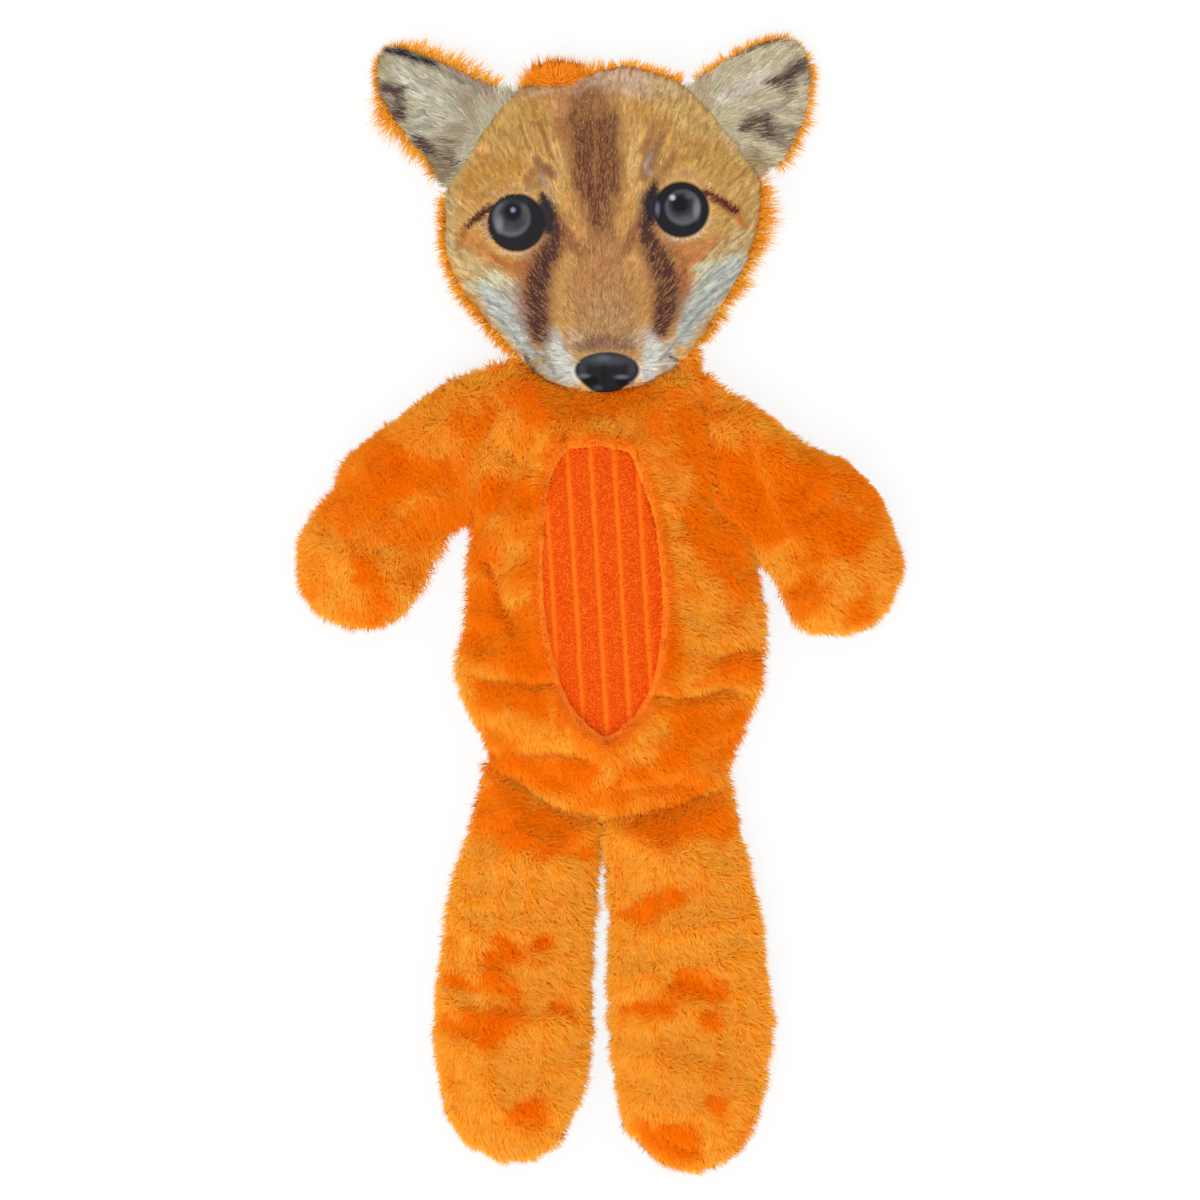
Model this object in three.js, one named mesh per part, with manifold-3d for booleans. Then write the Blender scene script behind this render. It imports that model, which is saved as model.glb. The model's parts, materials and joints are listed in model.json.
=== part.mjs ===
import * as THREE from 'three';
import { mergeVertices } from 'three/addons/utils/BufferGeometryUtils.js';
import Module from 'manifold-3d';

// A flat plush fox, laid on its back with its face up. Lengths are in millimetres.
// +X points to the viewer's right, +Y towards the ears and +Z up from the surface it lies on.
// Left and right are the viewer's. Every part is a sewn pair: a front layer and a back layer
// that meet in one seam all round, with something soft or squeaky between them.

const wasm = await Module();
wasm.setup();

// Seams and cloth
const seamHeight = 10;
const layerGap = 0.3;
const seamEdge = 0.25;
const hingeGap = 0.84;
const restDepth = 0.5;
const plushThickness = 4.6;
const printThickness = 1.8;
const fillGap = 0.4;
const looseGap = 0.35;
const cutOverrun = 12;

// Torso, measured from the lowest point of its hem
const torsoWidth = 120;
const torsoLength = 180;
const torsoRise = 13;

// Head
const headWidth = 128;
const headLength = 126;
const headRise = 20;

// Limbs and ears
const armReach = 82;
const armDrop = 109;
const legReach = 68;
const legDrop = 140;
const limbRise = 8.5;
const earSpan = 54;
const earRise = 3.4;
const earPile = 6.2;
const earDroop = 5;
const legParting = 1.2;

// Ribbed belly panel, whose outline keeps its place in the torso
const bellyWidthShare = 0.417;
const bellyLengthShare = 0.656;
const bellyFootShare = 0.167;
const bellyWidth = bellyWidthShare * torsoWidth;
const bellyLength = bellyLengthShare * torsoLength;
const bellyAboveHem = bellyFootShare * torsoLength;
const bellyThickness = 2.6;
const bellySink = 1.2;
const ribPitch = 9.2;
const ribChannel = 2.4;
const ribDepth = 0.8;
const ribLeanDegrees = 3.4;

// Crinkle film and squeakers
const filmThickness = 0.5;
const bodyBulbRadius = 17;
const bodyBulbHeight = 9.6;
const bodyBulbAboveHem = 96;
const headBulbRadius = 20;
const headBulbHeight = 15;
const bulbWall = 1;
const neckRadius = 4;
const reedBore = 1.3;
const reedDepth = 4;
const reedFlange = 0.8;

// Outlines: points along each free edge, in shares of the sizes above, chosen by eye.
// Torso: x in torsoWidth from the middle line, y in torsoLength above the hem
const neckShares = [
  [-0.307, 1.036], [-0.243, 0.989], [-0.143, 0.953], [0.007, 0.936], [0.14, 0.958], [0.23, 0.991],
  [0.3, 1.03],
];
const shoulderShares = { left: [-0.327, 1.011], right: [0.313, 0.998] };
const armpitShares = { left: [-0.437, 0.658], right: [0.5, 0.569] };
const hemShares = [
  [-0.37, 0.109], [-0.243, 0.06], [-0.117, 0.016], [0, 0], [0.14, 0.009], [0.283, 0.033], [0.397, 0.064],
];
const flankShares = {
  right: [[0.513, 0.482], [0.527, 0.393], [0.51, 0.304], [0.453, 0.193], [0.403, 0.1]],
  left: [[-0.38, 0.16], [-0.453, 0.26], [-0.473, 0.327], [-0.457, 0.393], [-0.443, 0.482]],
};

// Head: x in headWidth and y in headLength from its middle
const chinShare = 0.511;
const crownShares = [[-0.197, 0.483], [-0.109, 0.492], [-0.016, 0.52], [0.069, 0.537], [0.162, 0.514]];
const earTopShares = { left: [-0.284, 0.463], right: [0.272, 0.476] };
const earLowShares = { left: [-0.5, 0.156], right: [0.5, 0.197] };
const cheekShares = {
  right: [[0.494, 0.095], [0.475, -0.025], [0.419, -0.152], [0.344, -0.27]],
  left: [[-0.39, -0.245], [-0.462, -0.143], [-0.494, -0.048], [-0.497, 0.064]],
};

// Ear: out from the top of its base and down, both in earSpan
const earShares = {
  left: [[0.607, 0.54], [0.741, 0.378], [0.867, 0.215], [0.963, 0.044], [0.993, -0.141], [0.956, -0.289],
    [0.844, -0.319], [0.644, -0.237], [0.459, -0.163], [0.274, -0.074], [0.104, 0.015]],
  right: [[0.63, 0.593], [0.681, 0.533], [0.778, 0.37], [0.844, 0.17], [0.881, -0.037], [0.852, -0.222],
    [0.77, -0.326], [0.607, -0.333], [0.407, -0.259], [0.237, -0.163], [0.096, -0.059]],
};
const earSpineShares = { left: [[0.47, 0.21], [0.83, -0.08]], right: [[0.5, 0.18], [0.66, -0.12]] };

// Arm: out from the top of the shoulder seam in armReach and down in armDrop
const armShares = {
  left: [[0.12, 0.037], [0.244, 0.08], [0.376, 0.14], [0.498, 0.19], [0.57, 0.254], [0.678, 0.3],
    [0.766, 0.37], [0.795, 0.44], [0.863, 0.515], [0.937, 0.588], [0.985, 0.665], [0.995, 0.735],
    [0.976, 0.82], [0.922, 0.893], [0.83, 0.94], [0.698, 0.967], [0.57, 0.952], [0.468, 0.89],
    [0.405, 0.79], [0.351, 0.684], [0.254, 0.603]],
  right: [[0.102, 0.059], [0.2, 0.125], [0.317, 0.18], [0.395, 0.228], [0.532, 0.305], [0.659, 0.324],
    [0.815, 0.397], [0.888, 0.467], [0.946, 0.621], [0.976, 0.71], [0.956, 0.787], [0.907, 0.879],
    [0.824, 0.941], [0.712, 0.963], [0.576, 0.96], [0.498, 0.934], [0.449, 0.868], [0.39, 0.768],
    [0.332, 0.721]],
};
const armSpineShares = { left: [[0.39, 0.36], [0.68, 0.71]], right: [[0.42, 0.4], [0.7, 0.7]] };

// Leg: out from the middle line in legReach and down from the hem in legDrop
const legShares = {
  left: [[0.71, -0.034], [0.77, 0.06], [0.853, 0.197], [0.9, 0.35], [0.953, 0.523], [0.965, 0.614],
    [0.924, 0.737], [0.894, 0.83], [0.853, 0.883], [0.724, 0.937], [0.565, 0.963], [0.4, 0.971],
    [0.24, 0.903], [0.176, 0.809], [0.094, 0.683], [0.1, 0.609], [0.088, 0.537], [0.094, 0.437],
    [0.082, 0.309], [0.053, 0.18], [0.018, 0.066]],
  right: [[0.735, -0.049], [0.765, 0.037], [0.806, 0.129], [0.865, 0.237], [0.912, 0.366],
    [0.941, 0.523], [0.959, 0.623], [0.906, 0.746], [0.894, 0.823], [0.794, 0.911], [0.724, 0.963],
    [0.57, 0.994], [0.453, 0.991], [0.312, 0.963], [0.182, 0.911], [0.124, 0.837], [0.088, 0.751],
    [0.053, 0.58], [0.04, 0.451], [0.065, 0.337], [0.047, 0.237], [0.024, 0.094]],
};
const legSpineShares = { left: [[0.41, 0.14], [0.5, 0.76]], right: [[0.42, 0.14], [0.5, 0.78]] };

// Belly: x in bellyWidth from the middle line, y in bellyLength above the panel's foot
const bellyShares = [
  [0.016, 0], [0.24, 0.065], [0.4, 0.173], [0.472, 0.293], [0.504, 0.463], [0.47, 0.616], [0.4, 0.786],
  [0.3, 0.905], [0.2, 0.99], [-0.28, 1], [-0.408, 0.915], [-0.472, 0.786], [-0.496, 0.616],
  [-0.496, 0.48], [-0.44, 0.31], [-0.328, 0.156], [-0.184, 0.065],
];
const torsoSpineShares = [[0, 0.66], [0.02, 0.26]];
const headSpineShares = [[-0.1, -0.01], [0.1, -0.01]];

// How a layer swells: the share of its rise reached at each share of the way to the spine
const swellPower = 2.2;
const outerRingShares = [0, 0.14, 0.34, 0.62, 0.92];
const innerRingShares = [0, 0.3, 0.92];
const fillRingShares = [0.3, 0.92];

const swell = (share) => 1 - (1 - share) ** swellPower;

// A point, or a list of points, given in shares of a width and a length and counted from a place
function place([x, y], [width, length], [left, foot]) {
  return new THREE.Vector2(left + x * width, foot + y * length);
}

const placeAll = (shares, sizes, from) => shares.map((pair) => place(pair, sizes, from));

// A smooth run through the given points, in a number of steps
function run(points, steps) {
  return new THREE.SplineCurve(points).getPoints(steps);
}

// One closed outline from runs that share their ends
function join(...runs) {
  const points = runs.flatMap((part) => part.slice(0, -1));
  return THREE.ShapeUtils.isClockWise(points) ? points.reverse() : points;
}

const shift = (points, x, y) => points.map((point) => new THREE.Vector2(point.x + x, point.y + y));

// Both sides of a straight seam, each half a hinge gap away from the line between two points
function seamSide(from, to, side) {
  const along = to.clone().sub(from).normalize();
  const away = new THREE.Vector2(along.y, -along.x).multiplyScalar(side * hingeGap / 2);
  return [from.clone().add(away), to.clone().add(away)];
}

// An outline moved inwards by a distance
function inset(points, distance) {
  const count = points.length;
  return points.map((point, index) => {
    const along = points[(index + 1) % count].clone().sub(points[(index + count - 1) % count]).normalize();
    return point.clone().add(new THREE.Vector2(-along.y, along.x).multiplyScalar(distance));
  });
}

// The nearest point of a straight spine to a point of the outline
function onSpine(point, [start, end]) {
  const along = end.clone().sub(start);
  const share = THREE.MathUtils.clamp(point.clone().sub(start).dot(along) / along.lengthSq(), 0, 1);
  return start.clone().addScaledVector(along, share);
}

// A closed body between two stacks of rings, each drawn from the outline in to the spine.
// heights(share) gives the height of its lower and its upper face above the seam.
function crowned(outline, spine, shares, lower, upper, seam = () => seamHeight) {
  const count = outline.length;
  const vertices = [];
  const triangles = [];
  const addStack = (ringShares, height) => {
    const first = vertices.length;
    for (const share of ringShares) {
      for (const point of outline) {
        const spot = point.clone().lerp(onSpine(point, spine), share);
        vertices.push([spot.x, spot.y, Math.max(0, seam(spot) + height(share))]);
      }
    }
    const middle = spine[0].clone().lerp(spine[1], 0.5);
    vertices.push([middle.x, middle.y, Math.max(0, seam(middle) + height(1))]);
    return first;
  };
  const low = addStack(shares.lower, lower);
  const high = addStack(shares.upper, upper);
  const addFaces = (first, rings, up) => {
    const face = (a, b, c) => triangles.push(up ? [a, b, c] : [a, c, b]);
    for (let index = 0; index < count; index += 1) {
      const next = (index + 1) % count;
      for (let ring = 0; ring + 1 < rings; ring += 1) {
        const row = first + ring * count;
        face(row + index, row + next, row + count + next);
        face(row + index, row + count + next, row + count + index);
      }
      const last = first + (rings - 1) * count;
      face(last + index, last + next, first + rings * count);
    }
  };
  addFaces(low, shares.lower.length, false);
  addFaces(high, shares.upper.length, true);
  for (let index = 0; index < count; index += 1) {
    const next = (index + 1) % count;
    triangles.push([low + index, low + next, high + next], [low + index, high + next, high + index]);
  }
  return fromTriangles(vertices, triangles);
}

function fromTriangles(vertices, triangles) {
  const geometry = new THREE.BufferGeometry();
  geometry.setAttribute('position', new THREE.Float32BufferAttribute(vertices.flat(), 3));
  geometry.setIndex(triangles.flat());
  return geometry;
}

// The two layers of a sewn pair and what fills them
function frontLayer({ outline, spine, seam }, rise, thickness) {
  const inner = Math.max(0, rise - thickness);
  return crowned(outline, spine, { lower: innerRingShares, upper: outerRingShares },
    (share) => layerGap / 2 + inner * swell(share),
    (share) => layerGap / 2 + seamEdge + rise * swell(share), seam);
}

function backLayer({ outline, spine, seam }, drop, thickness) {
  const inner = Math.max(0, drop - thickness);
  return crowned(outline, spine, { lower: underRingShares, upper: innerRingShares },
    (share) => -layerGap / 2 - seamEdge - drop * swell(share),
    (share) => -layerGap / 2 - inner * swell(share), seam);
}

function filling({ outline, spine, seam }, rise, drop) {
  return crowned(outline, spine, { lower: fillRingShares, upper: fillRingShares },
    (share) => -layerGap / 2 - drop * swell(share) + fillGap,
    (share) => layerGap / 2 + rise * swell(share) - fillGap, seam);
}

// A back layer is pressed flat where its swell would pass the surface, and a ring marks that edge
const backDrop = seamHeight - layerGap / 2 - seamEdge + restDepth;
const innerDrop = backDrop - plushThickness;
const restShare = 1 - (restDepth / backDrop) ** (1 / swellPower);
const underRingShares = [...outerRingShares.slice(0, -1), restShare, outerRingShares.at(-1)];

// Solid cuts
function toSolid(geometry) {
  const bare = geometry.clone();
  bare.deleteAttribute('normal');
  bare.deleteAttribute('uv');
  const merged = mergeVertices(bare);
  return new wasm.Manifold(new wasm.Mesh({
    numProp: 3,
    vertProperties: new Float32Array(merged.attributes.position.array),
    triVerts: new Uint32Array(merged.index.array),
  }));
}

function toGeometry(solid) {
  const { vertProperties, triVerts } = solid.getMesh();
  const geometry = new THREE.BufferGeometry();
  geometry.setAttribute('position', new THREE.BufferAttribute(new Float32Array(vertProperties), 3));
  geometry.setIndex(new THREE.BufferAttribute(new Uint32Array(triVerts), 1));
  return geometry;
}

const cut = (geometry, tool) => toGeometry(toSolid(geometry).subtract(toSolid(tool)));
const common = (geometry, tool) => toGeometry(toSolid(geometry).intersect(toSolid(tool)));

// A straight-walled block over an outline, from one height to another
function prism(outline, from, to) {
  const settings = { depth: to - from, bevelEnabled: false };
  return new THREE.ExtrudeGeometry(new THREE.Shape(outline), settings).translate(0, 0, from);
}

// Places that pieces share
const hemMiddle = [0, 0];
const torsoSizes = [torsoWidth, torsoLength];
const neckLine = placeAll(neckShares, torsoSizes, hemMiddle);
const hemLine = placeAll(hemShares, torsoSizes, hemMiddle);
const neckSteps = 8;
const hemSteps = 8;
const neckRun = run(neckLine, neckSteps);
const hemRun = run(hemLine, hemSteps);
const sides = { left: -1, right: 1 };
const shoulder = {};
const armpit = {};
for (const side of Object.keys(sides)) {
  shoulder[side] = place(shoulderShares[side], torsoSizes, hemMiddle);
  armpit[side] = place(armpitShares[side], torsoSizes, hemMiddle);
}
const neckMiddle = neckLine[3];
const headMiddle = [0, neckMiddle.y + chinShare * headLength];
const headSizes = [headWidth, headLength];
const earTop = {};
const earLow = {};
for (const side of Object.keys(sides)) {
  earTop[side] = place(earTopShares[side], headSizes, headMiddle);
  earLow[side] = place(earLowShares[side], headSizes, headMiddle);
}

// Torso
const torsoNeck = shift(neckRun, 0, -hingeGap / 2);
const torsoHem = shift(hemRun, 0, hingeGap / 2);
const torsoShoulderRight = seamSide(shoulder.right, armpit.right, 1);
const torsoShoulderLeft = seamSide(armpit.left, shoulder.left, 1);
const flankSteps = 7;
const rightFlank = placeAll(flankShares.right, torsoSizes, hemMiddle);
const leftFlank = placeAll(flankShares.left, torsoSizes, hemMiddle);
const torso = {
  outline: join(
    torsoNeck,
    [torsoNeck.at(-1), torsoShoulderRight[0]],
    torsoShoulderRight,
    run([torsoShoulderRight[1], ...rightFlank, torsoHem.at(-1)], flankSteps),
    torsoHem.slice().reverse(),
    run([torsoHem[0], ...leftFlank, torsoShoulderLeft[0]], flankSteps),
    torsoShoulderLeft,
    [torsoShoulderLeft[1], torsoNeck[0]],
  ),
  spine: placeAll(torsoSpineShares, torsoSizes, hemMiddle),
};

// Ribbed belly panel, a barrel-shaped sheet with channels, cut to its outline
const bellySteps = 30;
const bellyFoot = [0, bellyAboveHem];
const bellyLine = placeAll(bellyShares, [bellyWidth, bellyLength], bellyFoot);
const bellyWindow = join(run([...bellyLine, bellyLine[0]], bellySteps));
const bellyTop = seamHeight + layerGap / 2 + seamEdge + torsoRise - bellySink;
const bellyHollowShares = { across: 0.16, along: 0.25 };
const bellyCrestShare = 0.42;
const sheetReachShare = 1.1;
const bandCrownShare = 0.25;

function ribbedSheet() {
  const lean = Math.tan(THREE.MathUtils.degToRad(ribLeanDegrees));
  const middle = bellyFoot[1] + bellyLength / 2;
  const summit = bellyFoot[1] + bellyCrestShare * bellyLength;
  const crest = (x, y) => bellyTop
    - bellyHollowShares.across * torsoRise * (2 * x / bellyWidth) ** 2
    - bellyHollowShares.along * torsoRise * (2 * (y - summit) / bellyLength) ** 2;
  const halfBand = (ribPitch - ribChannel) / 2;
  const halfSlope = ribChannel / 4;
  const ribs = Math.ceil(bellyWidth / ribPitch / 2) + 1;
  const section = [];
  for (let rib = -ribs; rib <= ribs; rib += 1) {
    const centre = (rib + 0.5) * ribPitch;
    section.push([centre - halfBand - halfSlope, ribDepth], [centre - halfBand, 0]);
    section.push([centre, -bandCrownShare * ribDepth]);
    section.push([centre + halfBand, 0], [centre + halfBand + halfSlope, ribDepth]);
  }
  const rows = 7;
  const count = section.length;
  const vertices = [];
  const triangles = [];
  for (const under of [false, true]) {
    for (let row = 0; row < rows; row += 1) {
      const y = middle + (row / (rows - 1) - 0.5) * sheetReachShare * bellyLength;
      for (const [offset, depth] of section) {
        const x = offset - (y - middle) * lean;
        vertices.push([x, y, crest(x, y) - (under ? bellyThickness : depth)]);
      }
    }
  }
  const size = rows * count;
  const quad = (a, b, c, d) => triangles.push([a, b, c], [a, c, d]);
  for (let row = 0; row + 1 < rows; row += 1) {
    for (let index = 0; index + 1 < count; index += 1) {
      const a = row * count + index;
      quad(a, a + 1, a + count + 1, a + count);
      quad(size + a, size + a + count, size + a + count + 1, size + a + 1);
    }
    const left = row * count;
    const right = left + count - 1;
    quad(left, left + count, size + left + count, size + left);
    quad(right, size + right, size + right + count, right + count);
  }
  for (let index = 0; index + 1 < count; index += 1) {
    const top = (rows - 1) * count + index;
    quad(index, size + index, size + index + 1, index + 1);
    quad(top, top + 1, size + top + 1, size + top);
  }
  return fromTriangles(vertices, triangles);
}

const windowTop = bellyTop + cutOverrun;
const bellyPanel = common(ribbedSheet(), prism(inset(bellyWindow, looseGap), 0, windowTop));
const bodyFront = cut(frontLayer(torso, torsoRise, plushThickness), prism(bellyWindow, 0, windowTop));

// Crinkle film lying on the body's back layer
const filmUnder = (share) => fillGap - layerGap / 2 - innerDrop * swell(share);
const crinkleFilm = crowned(torso.outline, torso.spine, { lower: fillRingShares, upper: fillRingShares },
  filmUnder, (share) => filmUnder(share) + filmThickness);

// Squeaker: a hollow bulb with a short neck and a reed plugged into it
const turnSteps = 16;
const bulbRoundShares = [-1, -0.6, 0, 0.6, 1];

function lathe(profile, x, y, z) {
  const points = profile.map(([radius, height]) => new THREE.Vector2(radius, height));
  const turned = new THREE.LatheGeometry(points, turnSteps);
  return turned.rotateX(Math.PI / 2).translate(x, y, z);
}

function bulb(radius, height, x, y, z) {
  const lip = neckRadius + bulbWall;
  const round = (wide, from, to) => bulbRoundShares.map((share) => {
    const tall = (to - from) / 2;
    return [lip + (wide - lip) * Math.sqrt(1 - share * share), from + tall + share * tall];
  });
  const outside = round(radius, 0, height - bulbWall);
  const inside = round(radius - bulbWall, bulbWall, height - 2 * bulbWall).reverse();
  return lathe([
    [0, 0], ...outside, [lip, height], [neckRadius, height],
    [neckRadius, height - 2 * bulbWall], ...inside, [0, bulbWall],
  ], x, y, z);
}

function reed(height, x, y, z) {
  const stem = neckRadius - looseGap;
  const seat = height + looseGap;
  return lathe([
    [reedBore, height - reedDepth], [stem, height - reedDepth], [stem, seat], [neckRadius + bulbWall, seat],
    [neckRadius + bulbWall, seat + reedFlange], [reedBore, seat + reedFlange], [reedBore, height - reedDepth],
  ], x, y, z);
}

const bodyBulbSpot = [0, bodyBulbAboveHem, seamHeight + filmUnder(1) + filmThickness + looseGap];

// Head
const headChin = shift(neckRun, 0, hingeGap / 2);
const headEarRight = seamSide(earTop.right, earLow.right, 1);
const headEarLeft = seamSide(earLow.left, earTop.left, 1);
const crownSteps = 7;
const cheekSteps = 6;
const headCrown = placeAll(crownShares, headSizes, headMiddle);
const rightCheek = placeAll(cheekShares.right, headSizes, headMiddle);
const leftCheek = placeAll(cheekShares.left, headSizes, headMiddle);
const head = {
  outline: join(
    run([headEarLeft[1], ...headCrown, headEarRight[0]], crownSteps),
    headEarRight,
    run([headEarRight[1], ...rightCheek, headChin.at(-1)], cheekSteps),
    headChin.slice().reverse(),
    run([headChin[0], ...leftCheek, headEarLeft[0]], cheekSteps),
    headEarLeft,
  ),
  spine: placeAll(headSpineShares, headSizes, headMiddle),
};
const headBulbSpot = [0, headMiddle[1], seamHeight - layerGap / 2 - innerDrop + fillGap];
const pocketRadius = headBulbRadius + looseGap;
const pocketFoot = headBulbSpot[2] - cutOverrun;
const pocketTop = headBulbSpot[2] + headBulbHeight + reedFlange + 2 * looseGap;
const pocketDepth = pocketTop - pocketFoot;
const bulbPocket = new THREE.CylinderGeometry(pocketRadius, pocketRadius, pocketDepth, 2 * turnSteps)
  .rotateX(Math.PI / 2)
  .translate(headBulbSpot[0], headBulbSpot[1], (pocketFoot + pocketTop) / 2);
const headFilling = cut(filling(head, headRise - printThickness, innerDrop), bulbPocket);

// Arms, legs and ears, one of each for either side
const armSteps = 19;
const legSteps = 21;
const earSteps = 15;

function armPair(side) {
  const sizes = [sides[side] * armReach, -armDrop];
  const from = [shoulder[side].x, shoulder[side].y];
  const root = side === 'right'
    ? seamSide(shoulder.right, armpit.right, -1)
    : seamSide(armpit.left, shoulder.left, -1).reverse();
  const free = placeAll(armShares[side], sizes, from);
  return {
    outline: join(run([root[0], ...free, root[1]], armSteps), [root[1], root[0]]),
    spine: placeAll(armSpineShares[side], sizes, from),
  };
}

function legPair(side) {
  const sizes = [sides[side] * legReach, -legDrop];
  const from = [sides[side] * legParting / 2, 0];
  const middle = hemSteps / 2;
  const hem = side === 'right' ? hemRun.slice(middle) : hemRun.slice(0, middle + 1).reverse();
  const root = shift(hem, 0, -hingeGap / 2);
  root[0] = new THREE.Vector2(from[0], root[0].y);
  const free = placeAll(legShares[side], sizes, from);
  return {
    outline: join(root, run([root.at(-1), ...free, root[0]], legSteps)),
    spine: placeAll(legSpineShares[side], sizes, from),
  };
}

function earPair(side) {
  const sizes = [sides[side] * earSpan, -earSpan];
  const from = [earTop[side].x, earTop[side].y];
  const root = side === 'right'
    ? seamSide(earTop.right, earLow.right, -1)
    : seamSide(earLow.left, earTop.left, -1).reverse();
  const base = earLow[side].clone().sub(earTop[side]).normalize();
  const seam = (point) => {
    const away = point.clone().sub(root[0]);
    return seamHeight - earDroop * Math.abs(away.cross(base)) / earSpan;
  };
  const free = placeAll(earShares[side], sizes, from);
  return {
    outline: join(run([root[1], ...free, root[0]], earSteps), [root[0], root[1]]),
    spine: placeAll(earSpineShares[side], sizes, from),
    seam,
  };
}

// Colours of the cloth, the print and the plastic
const plush = { color: 0xe88416, roughness: 0.95, metalness: 0 };
const print = { color: 0xc8a884, roughness: 0.85, metalness: 0 };
const corduroy = { color: 0xf5682a, roughness: 0.8, metalness: 0 };
const wool = { color: 0xf2f0ea, roughness: 1, metalness: 0 };
const film = { color: 0xd8dade, roughness: 0.3, metalness: 0 };
const rubber = { color: 0xe4e0d2, roughness: 0.5, metalness: 0 };
const white = { color: 0xf6f6f4, roughness: 0.4, metalness: 0 };

const fox = new THREE.Group();

function add(name, geometry, finish) {
  const mesh = new THREE.Mesh(geometry, new THREE.MeshStandardMaterial(finish));
  mesh.name = name;
  fox.add(mesh);
}

add('body_front', bodyFront, plush);
add('body_back', backLayer(torso, backDrop, plushThickness), plush);
add('belly_panel', bellyPanel, corduroy);
add('body_crinkle_film', crinkleFilm, film);
add('body_squeaker_bulb', bulb(bodyBulbRadius, bodyBulbHeight, ...bodyBulbSpot), rubber);
add('body_squeaker_reed', reed(bodyBulbHeight, ...bodyBulbSpot), white);
add('face_panel', frontLayer(head, headRise, printThickness), print);
add('head_back', backLayer(head, backDrop, plushThickness), plush);
add('head_filling', headFilling, wool);
add('head_squeaker_bulb', bulb(headBulbRadius, headBulbHeight, ...headBulbSpot), rubber);
add('head_squeaker_reed', reed(headBulbHeight, ...headBulbSpot), white);
for (const side of Object.keys(sides)) {
  const arm = armPair(side);
  add(`arm_${side}_front`, frontLayer(arm, limbRise, plushThickness), plush);
  add(`arm_${side}_back`, backLayer(arm, backDrop, plushThickness), plush);
  add(`arm_${side}_wadding`, filling(arm, limbRise - plushThickness, innerDrop), wool);
  const leg = legPair(side);
  add(`leg_${side}_front`, frontLayer(leg, limbRise, plushThickness), plush);
  add(`leg_${side}_back`, backLayer(leg, backDrop, plushThickness), plush);
  add(`leg_${side}_wadding`, filling(leg, limbRise - plushThickness, innerDrop), wool);
  const ear = earPair(side);
  add(`ear_${side}_front`, frontLayer(ear, earRise, earRise), print);
  add(`ear_${side}_back`, backLayer(ear, earPile, earPile), plush);
}

// The toy stands on the middle of its own footprint
const reach = new THREE.Box3().setFromObject(fox);
const centre = reach.getCenter(new THREE.Vector3());
fox.position.set(-centre.x, -centre.y, -reach.min.z);
fox.updateMatrixWorld(true);

// The seams that act as hinges, for whoever sets the joints
const hinge = (name, points) => {
  const text = points.map(({ x, y }) => `(${(x - centre.x).toFixed(2)}, ${(y - centre.y).toFixed(2)})`);
  console.log(`${name}: ${text.join(' to ')} at height ${seamHeight}`);
};
hinge('neck seam', neckRun);
hinge('hem seam', hemRun);
for (const side of Object.keys(sides)) {
  hinge(`${side} shoulder seam`, [shoulder[side], armpit[side]]);
  hinge(`${side} ear seam`, [earTop[side], earLow[side]]);
}

export default fox;
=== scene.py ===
# %% [markdown]
# # A flat plush fox
# The fox lies on its back and is seen from straight above. Its coat is one long-pile plush skin over
# the body and arms, the legs and head are skins of their own, and the face and ears are printed
# cloth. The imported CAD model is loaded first, because every piece made here is fitted to it.

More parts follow.
